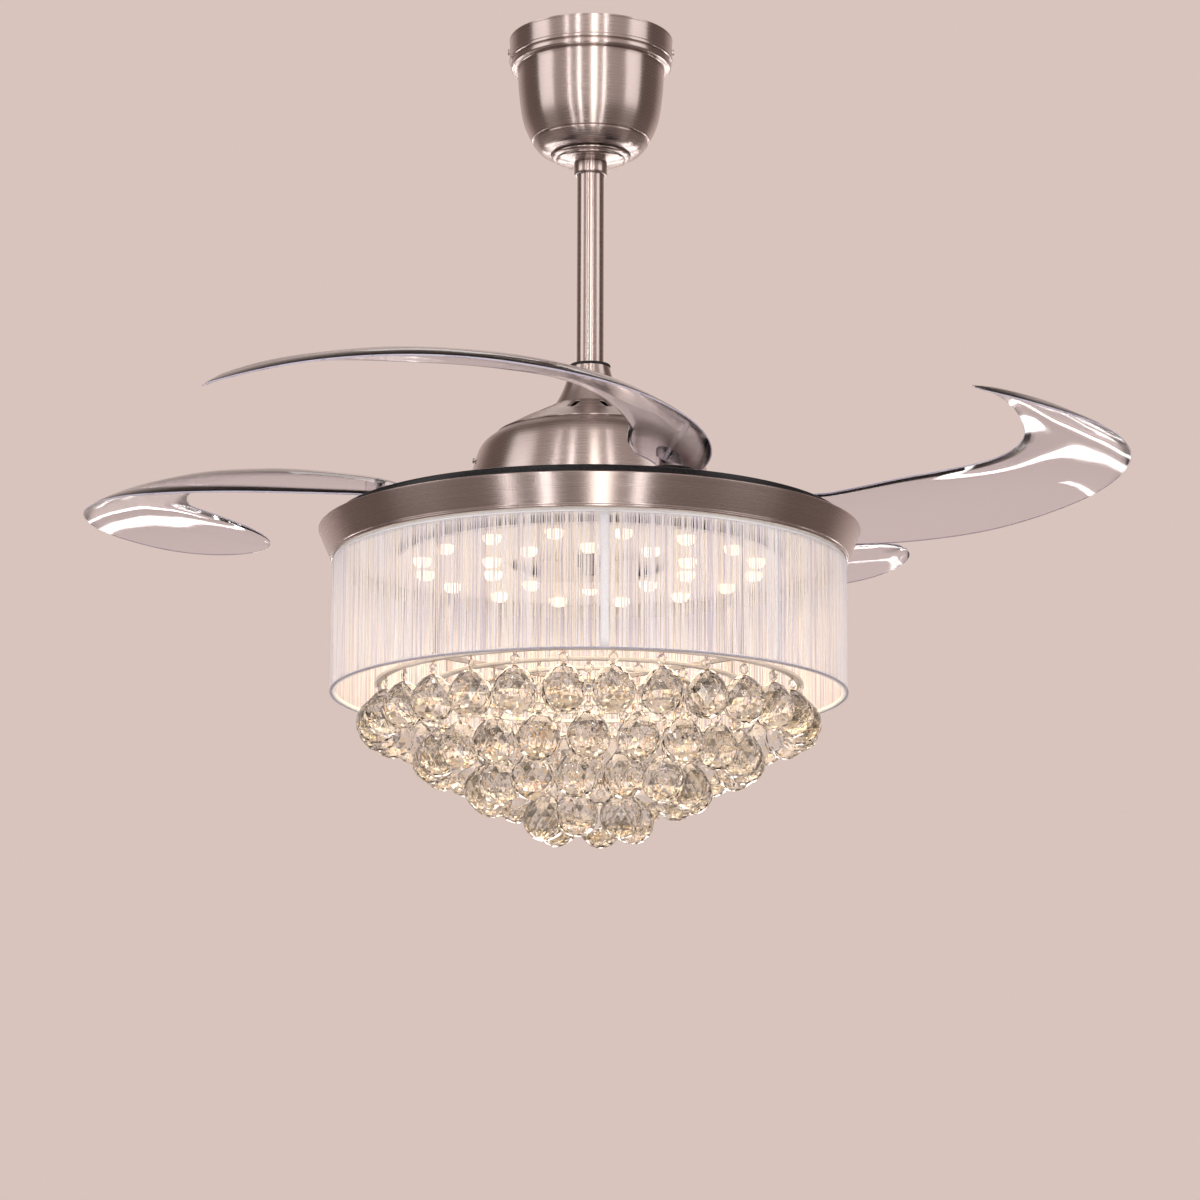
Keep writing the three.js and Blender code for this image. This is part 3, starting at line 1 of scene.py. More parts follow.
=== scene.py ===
# Looks of the retractable blade ceiling fan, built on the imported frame.
# Sizes are in millimetres below the ceiling and from the rotor's axis, as in the part's source,
# and are turned into metres where a mesh is made. Camera, lights and floor are in metres.
import json
import math
import random

import bmesh
import bpy
from mathutils import Matrix, Vector


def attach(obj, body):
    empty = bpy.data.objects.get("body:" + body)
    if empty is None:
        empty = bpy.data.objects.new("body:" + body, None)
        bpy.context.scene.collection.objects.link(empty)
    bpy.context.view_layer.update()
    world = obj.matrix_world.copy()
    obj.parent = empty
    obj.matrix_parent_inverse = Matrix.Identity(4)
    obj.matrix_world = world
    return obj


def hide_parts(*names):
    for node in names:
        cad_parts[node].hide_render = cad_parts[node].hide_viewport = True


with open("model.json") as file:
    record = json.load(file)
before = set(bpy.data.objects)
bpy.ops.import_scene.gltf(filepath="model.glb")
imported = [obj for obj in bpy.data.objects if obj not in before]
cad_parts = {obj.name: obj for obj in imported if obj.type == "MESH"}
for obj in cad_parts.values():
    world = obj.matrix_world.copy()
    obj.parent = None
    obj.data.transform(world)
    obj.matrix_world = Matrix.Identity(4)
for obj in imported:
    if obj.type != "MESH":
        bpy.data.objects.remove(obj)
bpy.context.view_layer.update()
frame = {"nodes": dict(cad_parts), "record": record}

MM = 0.001
chance = random.Random(7)
STILL = "ceiling_and_lamp"
ROTOR = "rotor"


# ------------------------------------------------------------------ camera
CAMERA_PLACE = (0.0104, -3.539, -1.2876)
CAMERA_RISE = 11.392  # degrees above level
CAMERA_ROLL = 0.14

camera_data = bpy.data.cameras.new("camera")
camera_data.lens = 110.96
camera_data.sensor_width = 36
camera = bpy.data.objects.new("camera", camera_data)
bpy.context.collection.objects.link(camera)
tilt = Matrix.Rotation(math.radians(90 + CAMERA_RISE), 4, "X")
roll = Matrix.Rotation(math.radians(CAMERA_ROLL), 4, "Z")
camera.matrix_world = Matrix.Translation(CAMERA_PLACE) @ tilt @ roll
bpy.context.scene.camera = camera
bpy.context.scene.view_settings.view_transform = "Standard"


# ------------------------------------------------------------------ studio
BACKDROP = (0.686, 0.552, 0.503, 1)
DARK_FLOOR = (0.2, 0.15, 0.135, 1)
FLOOR_REACH, FLOOR_LEVEL = 16, -4.8
FLOOR_GLOW = 0.85
PANEL_AIM = (0, 0, -0.42)
LAMP_LEVEL = -0.553
# What shiny pieces mirror, from straight in front (0) to straight behind (1).
ROOM_TONES = ((0.3, (0.5, 0.42, 0.385, 1)), (0.52, (0.16, 0.115, 0.1, 1)),
              (0.78, (0.2, 0.145, 0.125, 1)), (0.93, (0.6, 0.48, 0.44, 1)))


def seen_directly(nodes, links, path):
    """1 for what the camera sees, straight or through something clear, and 0 for all other light."""
    either = nodes.new("ShaderNodeMath")
    either.operation = "MAXIMUM"
    links.new(path.outputs["Is Camera Ray"], either.inputs[0])
    links.new(path.outputs["Is Transmission Ray"], either.inputs[1])
    return either.outputs[0]


def blend(nodes, links, share, first, second):
    """The first shader, with the second one taking over by share."""
    mix = nodes.new("ShaderNodeMixShader")
    links.new(share, mix.inputs[0])
    links.new(first, mix.inputs[1])
    links.new(second, mix.inputs[2])
    return mix.outputs[0]


def studio_world():
    """A plain backdrop to the eye, a soft fill for matt pieces and a banded room for shiny ones."""
    world = bpy.data.worlds.new("studio")
    bpy.context.scene.world = world
    world.use_nodes = True
    nodes, links = world.node_tree.nodes, world.node_tree.links
    fill = nodes["Background"]
    fill.inputs["Color"].default_value = (0.96, 0.95, 0.99, 1)
    fill.inputs["Strength"].default_value = 0.76
    seen = nodes.new("ShaderNodeBackground")
    seen.inputs["Color"].default_value = BACKDROP
    room = nodes.new("ShaderNodeBackground")
    place = nodes.new("ShaderNodeTexCoord")
    parts = nodes.new("ShaderNodeSeparateXYZ")
    spread = nodes.new("ShaderNodeMapRange")
    spread.inputs["From Min"].default_value = -1
    ramp = nodes.new("ShaderNodeValToRGB")
    ramp.color_ramp.elements[0].position = 0
    ramp.color_ramp.elements[0].color = (0.62, 0.53, 0.49, 1)
    ramp.color_ramp.elements[1].position = 1
    ramp.color_ramp.elements[1].color = BACKDROP
    for at, colour in ROOM_TONES:
        ramp.color_ramp.elements.new(at).color = colour
    links.new(place.outputs["Generated"], parts.inputs[0])
    links.new(parts.outputs["Y"], spread.inputs["Value"])
    links.new(spread.outputs[0], ramp.inputs[0])
    links.new(ramp.outputs[0], room.inputs["Color"])
    path = nodes.new("ShaderNodeLightPath")
    ambient = blend(nodes, links, path.outputs["Is Glossy Ray"], fill.outputs[0], room.outputs[0])
    final = blend(nodes, links, seen_directly(nodes, links, path), ambient, seen.outputs[0])
    links.new(final, nodes["World Output"].inputs["Surface"])


def strip_light(bearing, distance, level, width, height, power, colour=(1, 0.97, 0.95)):
    """A soft panel, turned towards the part; its bearing is counted from straight in front."""
    lamp = bpy.data.lights.new("panel", "AREA")
    lamp.shape = "RECTANGLE"
    lamp.size, lamp.size_y = width, height
    lamp.energy = power
    lamp.color = colour
    panel = bpy.data.objects.new("panel", lamp)
    bpy.context.collection.objects.link(panel)
    turn = math.radians(bearing)
    place = Vector((distance * math.sin(turn), -distance * math.cos(turn), level))
    panel.location = place
    panel.rotation_euler = (Vector(PANEL_AIM) - place).to_track_quat("-Z", "Y").to_euler()
    panel.visible_camera = False
    panel.visible_transmission = False


def lamp_inside():
    """The warm light that the lamp plate gives, on its way down to the crystals and the shade."""
    lamp = bpy.data.lights.new("warm_glow", "AREA")
    lamp.shape = "DISK"
    lamp.size = 0.42
    lamp.energy = 2.3
    lamp.color = (1, 0.77, 0.54)
    glow = bpy.data.objects.new("warm_glow", lamp)
    bpy.context.collection.objects.link(glow)
    glow.location = (0, 0, LAMP_LEVEL)
    glow.visible_camera = False
    glow.visible_transmission = False


def studio_floor():
    """The backdrop carried on below; shiny pieces mirror it dark."""
    mesh = bpy.data.meshes.new("floor")
    corners = [(x * FLOOR_REACH, y * FLOOR_REACH, FLOOR_LEVEL)
               for x, y in ((-1, -1), (1, -1), (1, 1), (-1, 1))]
    mesh.from_pydata(corners, [], [(0, 1, 2, 3)])
    floor = bpy.data.objects.new("floor", mesh)
    bpy.context.collection.objects.link(floor)
    paint = bpy.data.materials.new("floor_paint")
    paint.use_nodes = True
    nodes, links = paint.node_tree.nodes, paint.node_tree.links
    matt = nodes["Principled BSDF"]
    matt.inputs["Base Color"].default_value = BACKDROP
    matt.inputs["Roughness"].default_value = 0.9
    glow = nodes.new("ShaderNodeEmission")
    glow.inputs["Color"].default_value = BACKDROP
    dim = nodes.new("ShaderNodeEmission")
    dim.inputs["Color"].default_value = DARK_FLOOR
    path = nodes.new("ShaderNodeLightPath")
    share = nodes.new("ShaderNodeMath")
    share.operation = "MULTIPLY"
    share.inputs[1].default_value = FLOOR_GLOW
    links.new(seen_directly(nodes, links, path), share.inputs[0])
    mirrored = blend(nodes, links, path.outputs["Is Glossy Ray"], matt.outputs[0], dim.outputs[0])
    final = blend(nodes, links, share.outputs[0], mirrored, glow.outputs[0])
    links.new(final, nodes["Material Output"].inputs["Surface"])
    mesh.materials.append(paint)


studio_world()
studio_floor()
# Narrow upright panels in front, which streak the nickel.
strip_light(-34, 2.6, -0.5, 0.12, 5.4, 8)
strip_light(-18, 2.6, -0.5, 0.1, 5.4, 12)
strip_light(5, 2.7, -0.5, 0.36, 5.4, 22, (1, 0.95, 0.88))
strip_light(21, 2.6, -0.5, 0.1, 5.4, 10)
# Broad panels at both sides and above, behind.
strip_light(-75, 2.8, 0.6, 1.4, 2.4, 13)
strip_light(70, 2.8, 0.6, 1.4, 2.4, 12)
strip_light(180, 2.6, 1.8, 1.2, 0.7, 2.5)
# Low panels behind, which the blades mirror as bright lines.
strip_light(172, 3.2, -1.9, 2.6, 0.35, 16)
strip_light(-150, 3.0, -2.3, 0.5, 0.9, 8)
strip_light(178, 3.4, -1.25, 2.4, 0.1, 6)
strip_light(150, 3.0, -2.7, 1.4, 0.12, 6)
strip_light(-160, 3.2, -3.3, 1.6, 0.14, 6)
lamp_inside()


# ------------------------------------------------------------------ materials
def finish(name, colour, roughness, metallic=0.0, **sockets):
    """A surface with fixed values on its own sockets."""
    paint = bpy.data.materials.new(name)
    paint.use_nodes = True
    surface = paint.node_tree.nodes["Principled BSDF"]
    surface.inputs["Base Color"].default_value = (*colour, 1)
    surface.inputs["Roughness"].default_value = roughness
    surface.inputs["Metallic"].default_value = metallic
    for socket, value in sockets.items():
        surface.inputs[socket.replace("_", " ")].default_value = value
    return paint


def grain(paint, scale, noise_scale, colours=None, roughness=None, bump=0.0, depth=0.0002):
    """Noise, stretched by scale, that varies colour and roughness and raises the surface."""
    nodes, links = paint.node_tree.nodes, paint.node_tree.links
    surface = nodes["Principled BSDF"]
    place = nodes.new("ShaderNodeTexCoord")
    mapping = nodes.new("ShaderNodeMapping")
    mapping.inputs["Scale"].default_value = scale
    noise = nodes.new("ShaderNodeTexNoise")
    noise.inputs["Scale"].default_value = noise_scale
    noise.inputs["Detail"].default_value = 3
    links.new(place.outputs["Object"], mapping.inputs["Vector"])
    links.new(mapping.outputs[0], noise.inputs["Vector"])
    if colours:
        ramp = nodes.new("ShaderNodeValToRGB")
        ramp.color_ramp.elements[0].position = 0.32
        ramp.color_ramp.elements[1].position = 0.68
        ramp.color_ramp.elements[0].color = (*colours[0], 1)
        ramp.color_ramp.elements[1].color = (*colours[1], 1)
        links.new(noise.outputs["Fac"], ramp.inputs[0])
        links.new(ramp.outputs[0], surface.inputs["Base Color"])
    if roughness:
        spread = nodes.new("ShaderNodeMapRange")
        spread.inputs["From Min"].default_value = 0.3
        spread.inputs["From Max"].default_value = 0.7
        spread.inputs["To Min"].default_value = roughness[0]
        spread.inputs["To Max"].default_value = roughness[1]
        links.new(noise.outputs["Fac"], spread.inputs["Value"])
        links.new(spread.outputs[0], surface.inputs["Roughness"])
    if bump:
        raised = nodes.new("ShaderNodeBump")
        raised.inputs["Strength"].default_value = bump
        raised.inputs["Distance"].default_value = depth
        links.new(noise.outputs["Fac"], raised.inputs["Height"])
        links.new(raised.outputs[0], surface.inputs["Normal"])
    return paint


def brushed_metal(name, dark, light, roughness, anisotropy):
    """Metal turned on a lathe: fine rings about the vertical axis."""
    paint = finish(name, light, roughness[0], 1.0, Anisotropic=anisotropy, Anisotropic_Rotation=0.25)
    grain(paint, (0.4, 0.4, 900), 6, (dark, light), roughness)
    nodes, links = paint.node_tree.nodes, paint.node_tree.links
    tangent = nodes.new("ShaderNodeTangent")
    tangent.direction_type = "RADIAL"
    tangent.axis = "Z"
    links.new(tangent.outputs[0], nodes["Principled BSDF"].inputs["Tangent"])
    return paint


nickel = brushed_metal("brushed_nickel", (0.55, 0.465, 0.445), (0.6, 0.52, 0.5), (0.25, 0.28), 0.85)
nickel_bright = brushed_metal("turned_nickel", (0.56, 0.48, 0.46), (0.64, 0.56, 0.54), (0.23, 0.27), 0.8)
zinc = grain(finish("zinc_steel", (0.46, 0.47, 0.49), 0.36, 1.0), (1, 1, 1), 160,
             ((0.38, 0.39, 0.41), (0.52, 0.53, 0.55)), (0.3, 0.48), bump=0.08)
laminated = grain(finish("laminated_core", (0.3, 0.29, 0.28), 0.5, 0.8), (1, 1, 900), 4,
                  ((0.2, 0.19, 0.18), (0.36, 0.35, 0.34)), (0.4, 0.6), bump=0.2)
dark_cast = grain(finish("dark_cast", (0.03, 0.03, 0.032), 0.6), (1, 1, 1), 240,
                  ((0.02, 0.02, 0.022), (0.045, 0.045, 0.048)), (0.5, 0.7), bump=0.1)
ferrite = grain(finish("ferrite", (0.04, 0.04, 0.042), 0.6), (1, 1, 1), 300,
                ((0.03, 0.03, 0.032), (0.06, 0.06, 0.062)), (0.5, 0.75), bump=0.1)
black = grain(finish("black_coat", (0.009, 0.009, 0.011), 0.34, 0.0, Specular_IOR_Level=0.3),
              (1, 1, 1), 420, ((0.007, 0.007, 0.009), (0.014, 0.014, 0.016)), (0.24, 0.36), bump=0.06)
rubber = grain(finish("rubber", (0.012, 0.012, 0.012), 0.75), (1, 1, 1), 500,
               ((0.008, 0.008, 0.008), (0.02, 0.02, 0.02)), (0.65, 0.85), bump=0.15)
white = grain(finish("white_coat", (0.8, 0.78, 0.75), 0.4), (1, 1, 1), 260,
              ((0.77, 0.75, 0.72), (0.83, 0.81, 0.78)), (0.34, 0.46), bump=0.04)
plastic = grain(finish("white_plastic", (0.78, 0.76, 0.72), 0.45), (1, 1, 1), 340,
                ((0.75, 0.73, 0.69), (0.81, 0.79, 0.75)), (0.38, 0.52), bump=0.06)
nylon = grain(finish("nylon", (0.72, 0.68, 0.58), 0.5, 0.0, Subsurface_Weight=0.1), (1, 1, 1), 200,
              ((0.68, 0.64, 0.54), (0.76, 0.72, 0.62)), (0.42, 0.58), bump=0.05)
gold = grain(finish("gold_wire", (0.72, 0.5, 0.28), 0.24, 1.0), (1, 1, 1), 300,
             ((0.64, 0.42, 0.22), (0.8, 0.58, 0.34)), (0.18, 0.34))
pale_strip = grain(finish("pale_strip", (0.72, 0.68, 0.62), 0.35), (1, 1, 1), 180,
                   ((0.68, 0.64, 0.58), (0.76, 0.72, 0.66)), (0.3, 0.42))
# Painted shade: the crystal frame's white coat is painted dim grey, as it shows only dimly through the
# shade's threads.
frame_painted_shade = grain(finish("frame_painted_shade", (0.34, 0.32, 0.33), 0.7), (1, 1, 1), 260,
                   ((0.3, 0.28, 0.29), (0.38, 0.36, 0.37)), (0.6, 0.8), bump=0.04)
hem = grain(finish("shade_hem", (0.42, 0.4, 0.46), 0.6), (1, 1, 1), 700,
            ((0.3, 0.28, 0.34), (0.5, 0.48, 0.54)), (0.5, 0.7), bump=0.3)


def clear_sheet(name, colour, roughness, ior=1.49):
    """Clear plastic with a slightly uneven polish."""
    paint = finish(name, colour, roughness, 0.0, Transmission_Weight=1.0, IOR=ior)
    return grain(paint, (1, 1, 1), 14, roughness=(roughness, roughness + 0.05), bump=0.015, depth=0.002)


acrylic = clear_sheet("clear_acrylic", (0.87, 0.85, 0.9), 0.04)
acrylic_edge = finish("clear_acrylic_edge", (0.74, 0.7, 0.82), 0.3, 0.0, Transmission_Weight=0.35, IOR=1.2)
grain(acrylic_edge, (1, 1, 1), 30, ((0.68, 0.63, 0.78), (0.82, 0.78, 0.88)), (0.24, 0.36))
clear_foot = clear_sheet("clear_foot", (0.9, 0.87, 0.92), 0.2, 1.1)


def cut_glass(name, deep, pale):
    """Glass of one tone for a set of facets. Besides the clear tone, the tones are painted light: grey and
    smoke are painted shade, gold is painted warm glint; together they give a ball its sparkle.
    """
    glass = finish(name, pale, 0.0, 0.0, Transmission_Weight=1.0, IOR=1.52)
    return grain(glass, (1, 1, 1), 60, (deep, pale))


crystal = cut_glass("crystal", (0.95, 0.95, 0.92), (1, 1, 1))
# Painted light on the facets: a grey and a smoke copy of the clear glass as painted shade, and a gold copy
# as painted warm glints.
crystal_painted_shade = cut_glass("crystal_painted_shade", (0.76, 0.76, 0.73), (0.92, 0.92, 0.89))
crystal_painted_warm_glint = cut_glass("crystal_painted_warm_glint", (0.99, 0.86, 0.64), (1, 0.95, 0.82))
crystal_painted_deep_shade = cut_glass("crystal_painted_deep_shade", (0.18, 0.18, 0.17), (0.36, 0.36, 0.34))
lens_glow = finish("lamp_lens", (0.95, 0.9, 0.8), 0.3, 0.0, Emission_Strength=1.4)
lens_glow.node_tree.nodes["Principled BSDF"].inputs["Emission Color"].default_value = (1, 0.83, 0.58, 1)
grain(lens_glow, (1, 1, 1), 120, ((0.9, 0.84, 0.72), (1, 0.95, 0.86)), (0.25, 0.35))


def thread_paint(name, colour, through):
    """Spun thread: lets part of the light through and shines a little along its length."""
    paint = finish(name, colour, 0.45, 0.0, Sheen_Weight=0.3)
    grain(paint, (1, 1, 1), 900, (tuple(c * 0.82 for c in colour), colour), (0.35, 0.6), bump=0.2)
    nodes, links = paint.node_tree.nodes, paint.node_tree.links
    glow = nodes.new("ShaderNodeBsdfTranslucent")
    glow.inputs["Color"].default_value = (*colour, 1)
    mix = nodes.new("ShaderNodeMixShader")
    mix.inputs[0].default_value = through
    links.new(nodes["Principled BSDF"].outputs[0], mix.inputs[1])
    links.new(glow.outputs[0], mix.inputs[2])
    links.new(mix.outputs[0], nodes["Material Output"].inputs["Surface"])
    return paint


thread = thread_paint("shade_thread", (0.95, 0.945, 0.985), 0.3)
# Painted light on the threads: the lilac copy is painted shade, standing for the gaps between threads, and
# the cream copy is painted warm glow from the lamp plate.
thread_painted_shade = thread_paint("shade_thread_lilac", (0.73, 0.69, 0.79), 0.3)
thread_painted_glow = thread_paint("shade_thread_cream", (0.97, 0.92, 0.85), 0.4)
seam_tape = thread_paint("shade_seam_tape", (0.985, 0.98, 1.0), 0.2)

# The look of each material slot, and of the two nodes that look different from their slot.
CAD_FINISH = {
    "brushed_nickel": nickel, "black_coat": black, "zinc_steel": zinc, "clear_acrylic": acrylic,
    "black_rubber": rubber, "white_plastic": plastic, "nylon": nylon, "shade_thread": thread,
    "crystal_glass": crystal, "magnet_ferrite": ferrite, "stator_laminations": laminated,
    "white_coat": white,
}
# The crystal frame gets painted shade in place of its white coat.
NODE_FINISH = {"motor_yoke": dark_cast, "crystal_frame": frame_painted_shade}
for part in frame["record"]["subparts"]:
    node = frame["nodes"][part["node"]]
    node.data.materials.clear()
    node.data.materials.append(NODE_FINISH.get(part["node"], CAD_FINISH[part["material_slot"]]))


# ------------------------------------------------------------------ mesh helpers
SHARP = 32  # degrees from which an edge is shaded sharp


def make(name, points, faces, paints, body, instead_of=(), sharp=SHARP, which=None, weld=True):
    """A piece from points in millimetres. which gives each face's number in paints."""
    mesh = bpy.data.meshes.new(name)
    mesh.from_pydata([(x * MM, y * MM, z * MM) for x, y, z in points], [], faces)
    paints = paints if isinstance(paints, (list, tuple)) else [paints]
    for paint in paints:
        mesh.materials.append(paint)
    if which:
        mesh.polygons.foreach_set("material_index", which)
    shape = bmesh.new()
    shape.from_mesh(mesh)
    if weld:
        bmesh.ops.remove_doubles(shape, verts=shape.verts, dist=1e-7)
        bmesh.ops.recalc_face_normals(shape, faces=shape.faces)
    for face in shape.faces:
        face.smooth = sharp > 0
    shape.to_mesh(mesh)
    shape.free()
    if sharp > 0:
        mesh.set_sharp_from_angle(angle=math.radians(sharp))
    obj = bpy.data.objects.new(name, mesh)
    bpy.context.collection.objects.link(obj)
    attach(obj, body)
    if instead_of:
        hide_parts(*instead_of)
    return obj


def rounded(profile, radius, steps=3):
    """A closed profile with its corners rounded."""
    result = []
    for i, corner in enumerate(profile):
        here = Vector(corner)
        before, after = Vector(profile[i - 1]) - here, Vector(profile[(i + 1) % len(profile)]) - here
        if here.x < 1e-6 or before.length < 1e-6 or after.length < 1e-6:
            result.append((here.x, here.y))
            continue
        cut = min(radius, 0.42 * before.length, 0.42 * after.length)
        if before.angle(after) > math.radians(172):
            result.append((here.x, here.y))
            continue
        a, b = here + before.normalized() * cut, here + after.normalized() * cut
        for step in range(steps + 1):
            t = step / steps
            spot = a * (1 - t) ** 2 + here * 2 * t * (1 - t) + b * t ** 2
            result.append((spot.x, spot.y))
    return result


def turned(profile, segments):
    """Points and faces of a closed [radius, depth] profile turned about the axis."""
    points, faces = [], []
    count = len(profile)
    for i in range(segments):
        angle = 2 * math.pi * i / segments
        points += [(r * math.cos(angle), r * math.sin(angle), -d) for r, d in profile]
    for i in range(segments):
        for j in range(count):
            a, b = i * count + j, i * count + (j + 1) % count
            c, d = ((i + 1) % segments) * count + (j + 1) % count, ((i + 1) % segments) * count + j
            if profile[j][0] < 1e-6 and profile[(j + 1) % count][0] < 1e-6:
                continue
            faces.append([a, b, c, d])
    return points, faces


def lathe(name, profile, paint, body, instead_of, segments, soft, sharp=SHARP):
    """A turned piece; soft is the radius that its corners are rounded to."""
    points, faces = turned(rounded(profile, soft) if soft else profile, segments)
    return make(name, points, faces, paint, body, instead_of, sharp)


def curve_through(knots, count):
    """Points of a smooth curve through the knots."""
    result = []
    spans = len(knots) - 1
    for i in range(count + 1):
        place = min(i / count * spans, spans - 1e-9)
        k = int(place)
        t = place - k
        p = [Vector(knots[max(0, min(spans, k + o))]) for o in (-1, 0, 1, 2)]
        spot = 0.5 * (2 * p[1] + (p[2] - p[0]) * t + (2 * p[0] - 5 * p[1] + 4 * p[2] - p[3]) * t ** 2
                      + (3 * p[1] - p[0] - 3 * p[2] + p[3]) * t ** 3)
        result.append((spot.x, spot.y))
    return result


def walled(outer, wall):
    """A closed profile: the outer line and the same line a wall further in."""
    inner = []
    for i, (r, d) in enumerate(outer):
        r0, d0 = outer[max(i - 1, 0)]
        r1, d1 = outer[min(i + 1, len(outer) - 1)]
        length = math.hypot(r1 - r0, d1 - d0)
        level = min(max(d + wall * (r1 - r0) / length, outer[0][1]), outer[-1][1])
        inner.append((r - wall * (d1 - d0) / length, level))
    return list(outer) + inner[::-1]


def tube(points, faces, path, radius, sides, closed=False):
    """Adds a round wire along a path of points to the lists."""
    start = len(points)
    count = len(path)
    for i, here in enumerate(path):
        here = Vector(here)
        ahead = Vector(path[(i + 1) % count] if closed or i + 1 < count else path[i])
        behind = Vector(path[i - 1] if closed or i > 0 else path[i])
        along = (ahead - behind).normalized()
        side = along.cross(Vector((0, 0, 1)))
        if side.length < 0.2:
            side = along.cross(Vector((0, 1, 0)))
        side.normalize()
        up = side.cross(along)
        for k in range(sides):
            angle = 2 * math.pi * k / sides
            points.append(tuple(here + side * radius * math.cos(angle) + up * radius * math.sin(angle)))
    for i in range(count if closed else count - 1):
        for k in range(sides):
            a, b = start + i * sides + k, start + i * sides + (k + 1) % sides
            c, d = start + (i + 1) % count * sides + (k + 1) % sides, start + (i + 1) % count * sides + k
            faces.append([a, b, c, d])
    if not closed:
        faces.append([start + k for k in range(sides)][::-1])
        faces.append([start + (count - 1) * sides + k for k in range(sides)])


def around(radius, bearing, level):
    """A spot at a bearing in degrees about the axis."""
    angle = math.radians(bearing)
    return (radius * math.cos(angle), radius * math.sin(angle), level)


def screw(name, head_centre, outward, radius, height, paint, body, instead_of, shank):
    """A domed screw head with a cross recess, on its shank."""
    out = Vector(outward).normalized()
    side = out.cross(Vector((0, 0, 1)))
    if side.length < 0.1:
        side = Vector((1, 0, 0))
    side.normalize()
    up = side.cross(out)
    points, faces = [], []
    sides = 24
    rows = [(radius * 0.45, -shank), (radius * 0.45, 0), (radius, 0), (radius, height * 0.45),
            (radius * 0.8, height * 0.85), (radius * 0.42, height)]
    for r, lift in rows:
        for k in range(sides):
            angle = 2 * math.pi * k / sides
            spot = Vector(head_centre) + out * lift + side * r * math.cos(angle) + up * r * math.sin(angle)
            points.append(tuple(spot))
    for i in range(len(rows) - 1):
        for k in range(sides):
            faces.append([i * sides + k, i * sides + (k + 1) % sides,
                          (i + 1) * sides + (k + 1) % sides, (i + 1) * sides + k])
    top = len(rows) - 1
    base = len(points)
    for k in range(sides):
        angle = 2 * math.pi * k / sides
        arm = max(abs(math.cos(angle)), abs(math.sin(angle))) ** 8
        spot = Vector(head_centre) + out * height * (0.95 - 0.6 * arm)
        spot += side * radius * 0.34 * math.cos(angle) + up * radius * 0.34 * math.sin(angle)
        points.append(tuple(spot))
    for k in range(sides):
        faces.append([top * sides + k, top * sides + (k + 1) % sides, base + (k + 1) % sides, base + k])
    faces.append([base + k for k in range(sides)])
    faces.append(list(range(sides))[::-1])
    return make(name, points, faces, paint, body, instead_of)


# ------------------------------------------------------------------ canopy and downrod
SHELL = 1.4  # wall of the canopy and the dome


def build_canopy():
    """The canopy, the ring under it, and the downrod with its collar and gasket."""
    bowl = curve_through([(73.5, 32), (72, 58), (67.6, 86.5), (58.9, 106.6)], 22)
    cup = curve_through([(57.6, 109), (52.5, 115.3), (47.5, 119), (40, 121)], 8)
    outer = [(82, 1), (82, 2.5), (81.6, 3.4), (81.6, 20.5), (82, 21.4), (82, 24), (80, 24.6), (80.6, 26),
             (80.6, 29.4), (79.6, 31.2), (74.6, 31.6)] + bowl + [(56.4, 107), (56.2, 108.4)] + cup
    inner = [(r - SHELL, d - SHELL if i > 1 else d) for i, (r, d) in enumerate(outer)]
    lathe("canopy_shell", outer + inner[::-1], nickel, STILL, ["canopy"], 160, 0.35, 28)
    lathe("canopy_stepped_ring", [(37, 121.3), (39.4, 122.6), (39.4, 123.8), (37.4, 125), (34.2, 125.4),
                                  (34.4, 126.6), (32.4, 127.6), (26, 128.6), (18, 130), (13.7, 130),
                                  (13.7, 128), (28, 124)],
          nickel, STILL, ["canopy_lower_ring"], 96, 0.4)
    for k, side in ((1, -1), (2, 1)):
        screw(f"canopy_screw_head_{k}", (side * 82.3, 0, -13), (side, 0, 0), 3.5, 1.2, nickel_bright, STILL,
              [f"canopy_screw_{k}"], 14)
    lathe("downrod_tube", [(11.4, 46), (13.4, 46), (13.4, 364), (11.4, 364)], nickel, STILL, ["downrod"],
          64, 0.5)
    lathe("downrod_collar_ring", [(13.7, 130.3), (16.6, 130.3), (16.6, 140.6), (15.4, 142.3), (13.7, 142.3)],
          nickel_bright, STILL, ["downrod_collar"], 64, 0.6)
    lathe("coupler_gasket_ring", [(13.7, 338.1), (20.2, 338.1), (20.2, 340.7), (13.7, 340.7)], rubber, STILL,
          ["coupler_gasket"], 64, 0.8)


# ------------------------------------------------------------------ coupler, vent ring and dome
SLOTS = 12
SLOT_IN, SLOT_OUT = (41, 384.7), (67, 397.4)  # where the slots start and end
SLOT_WIDTH = 5.5


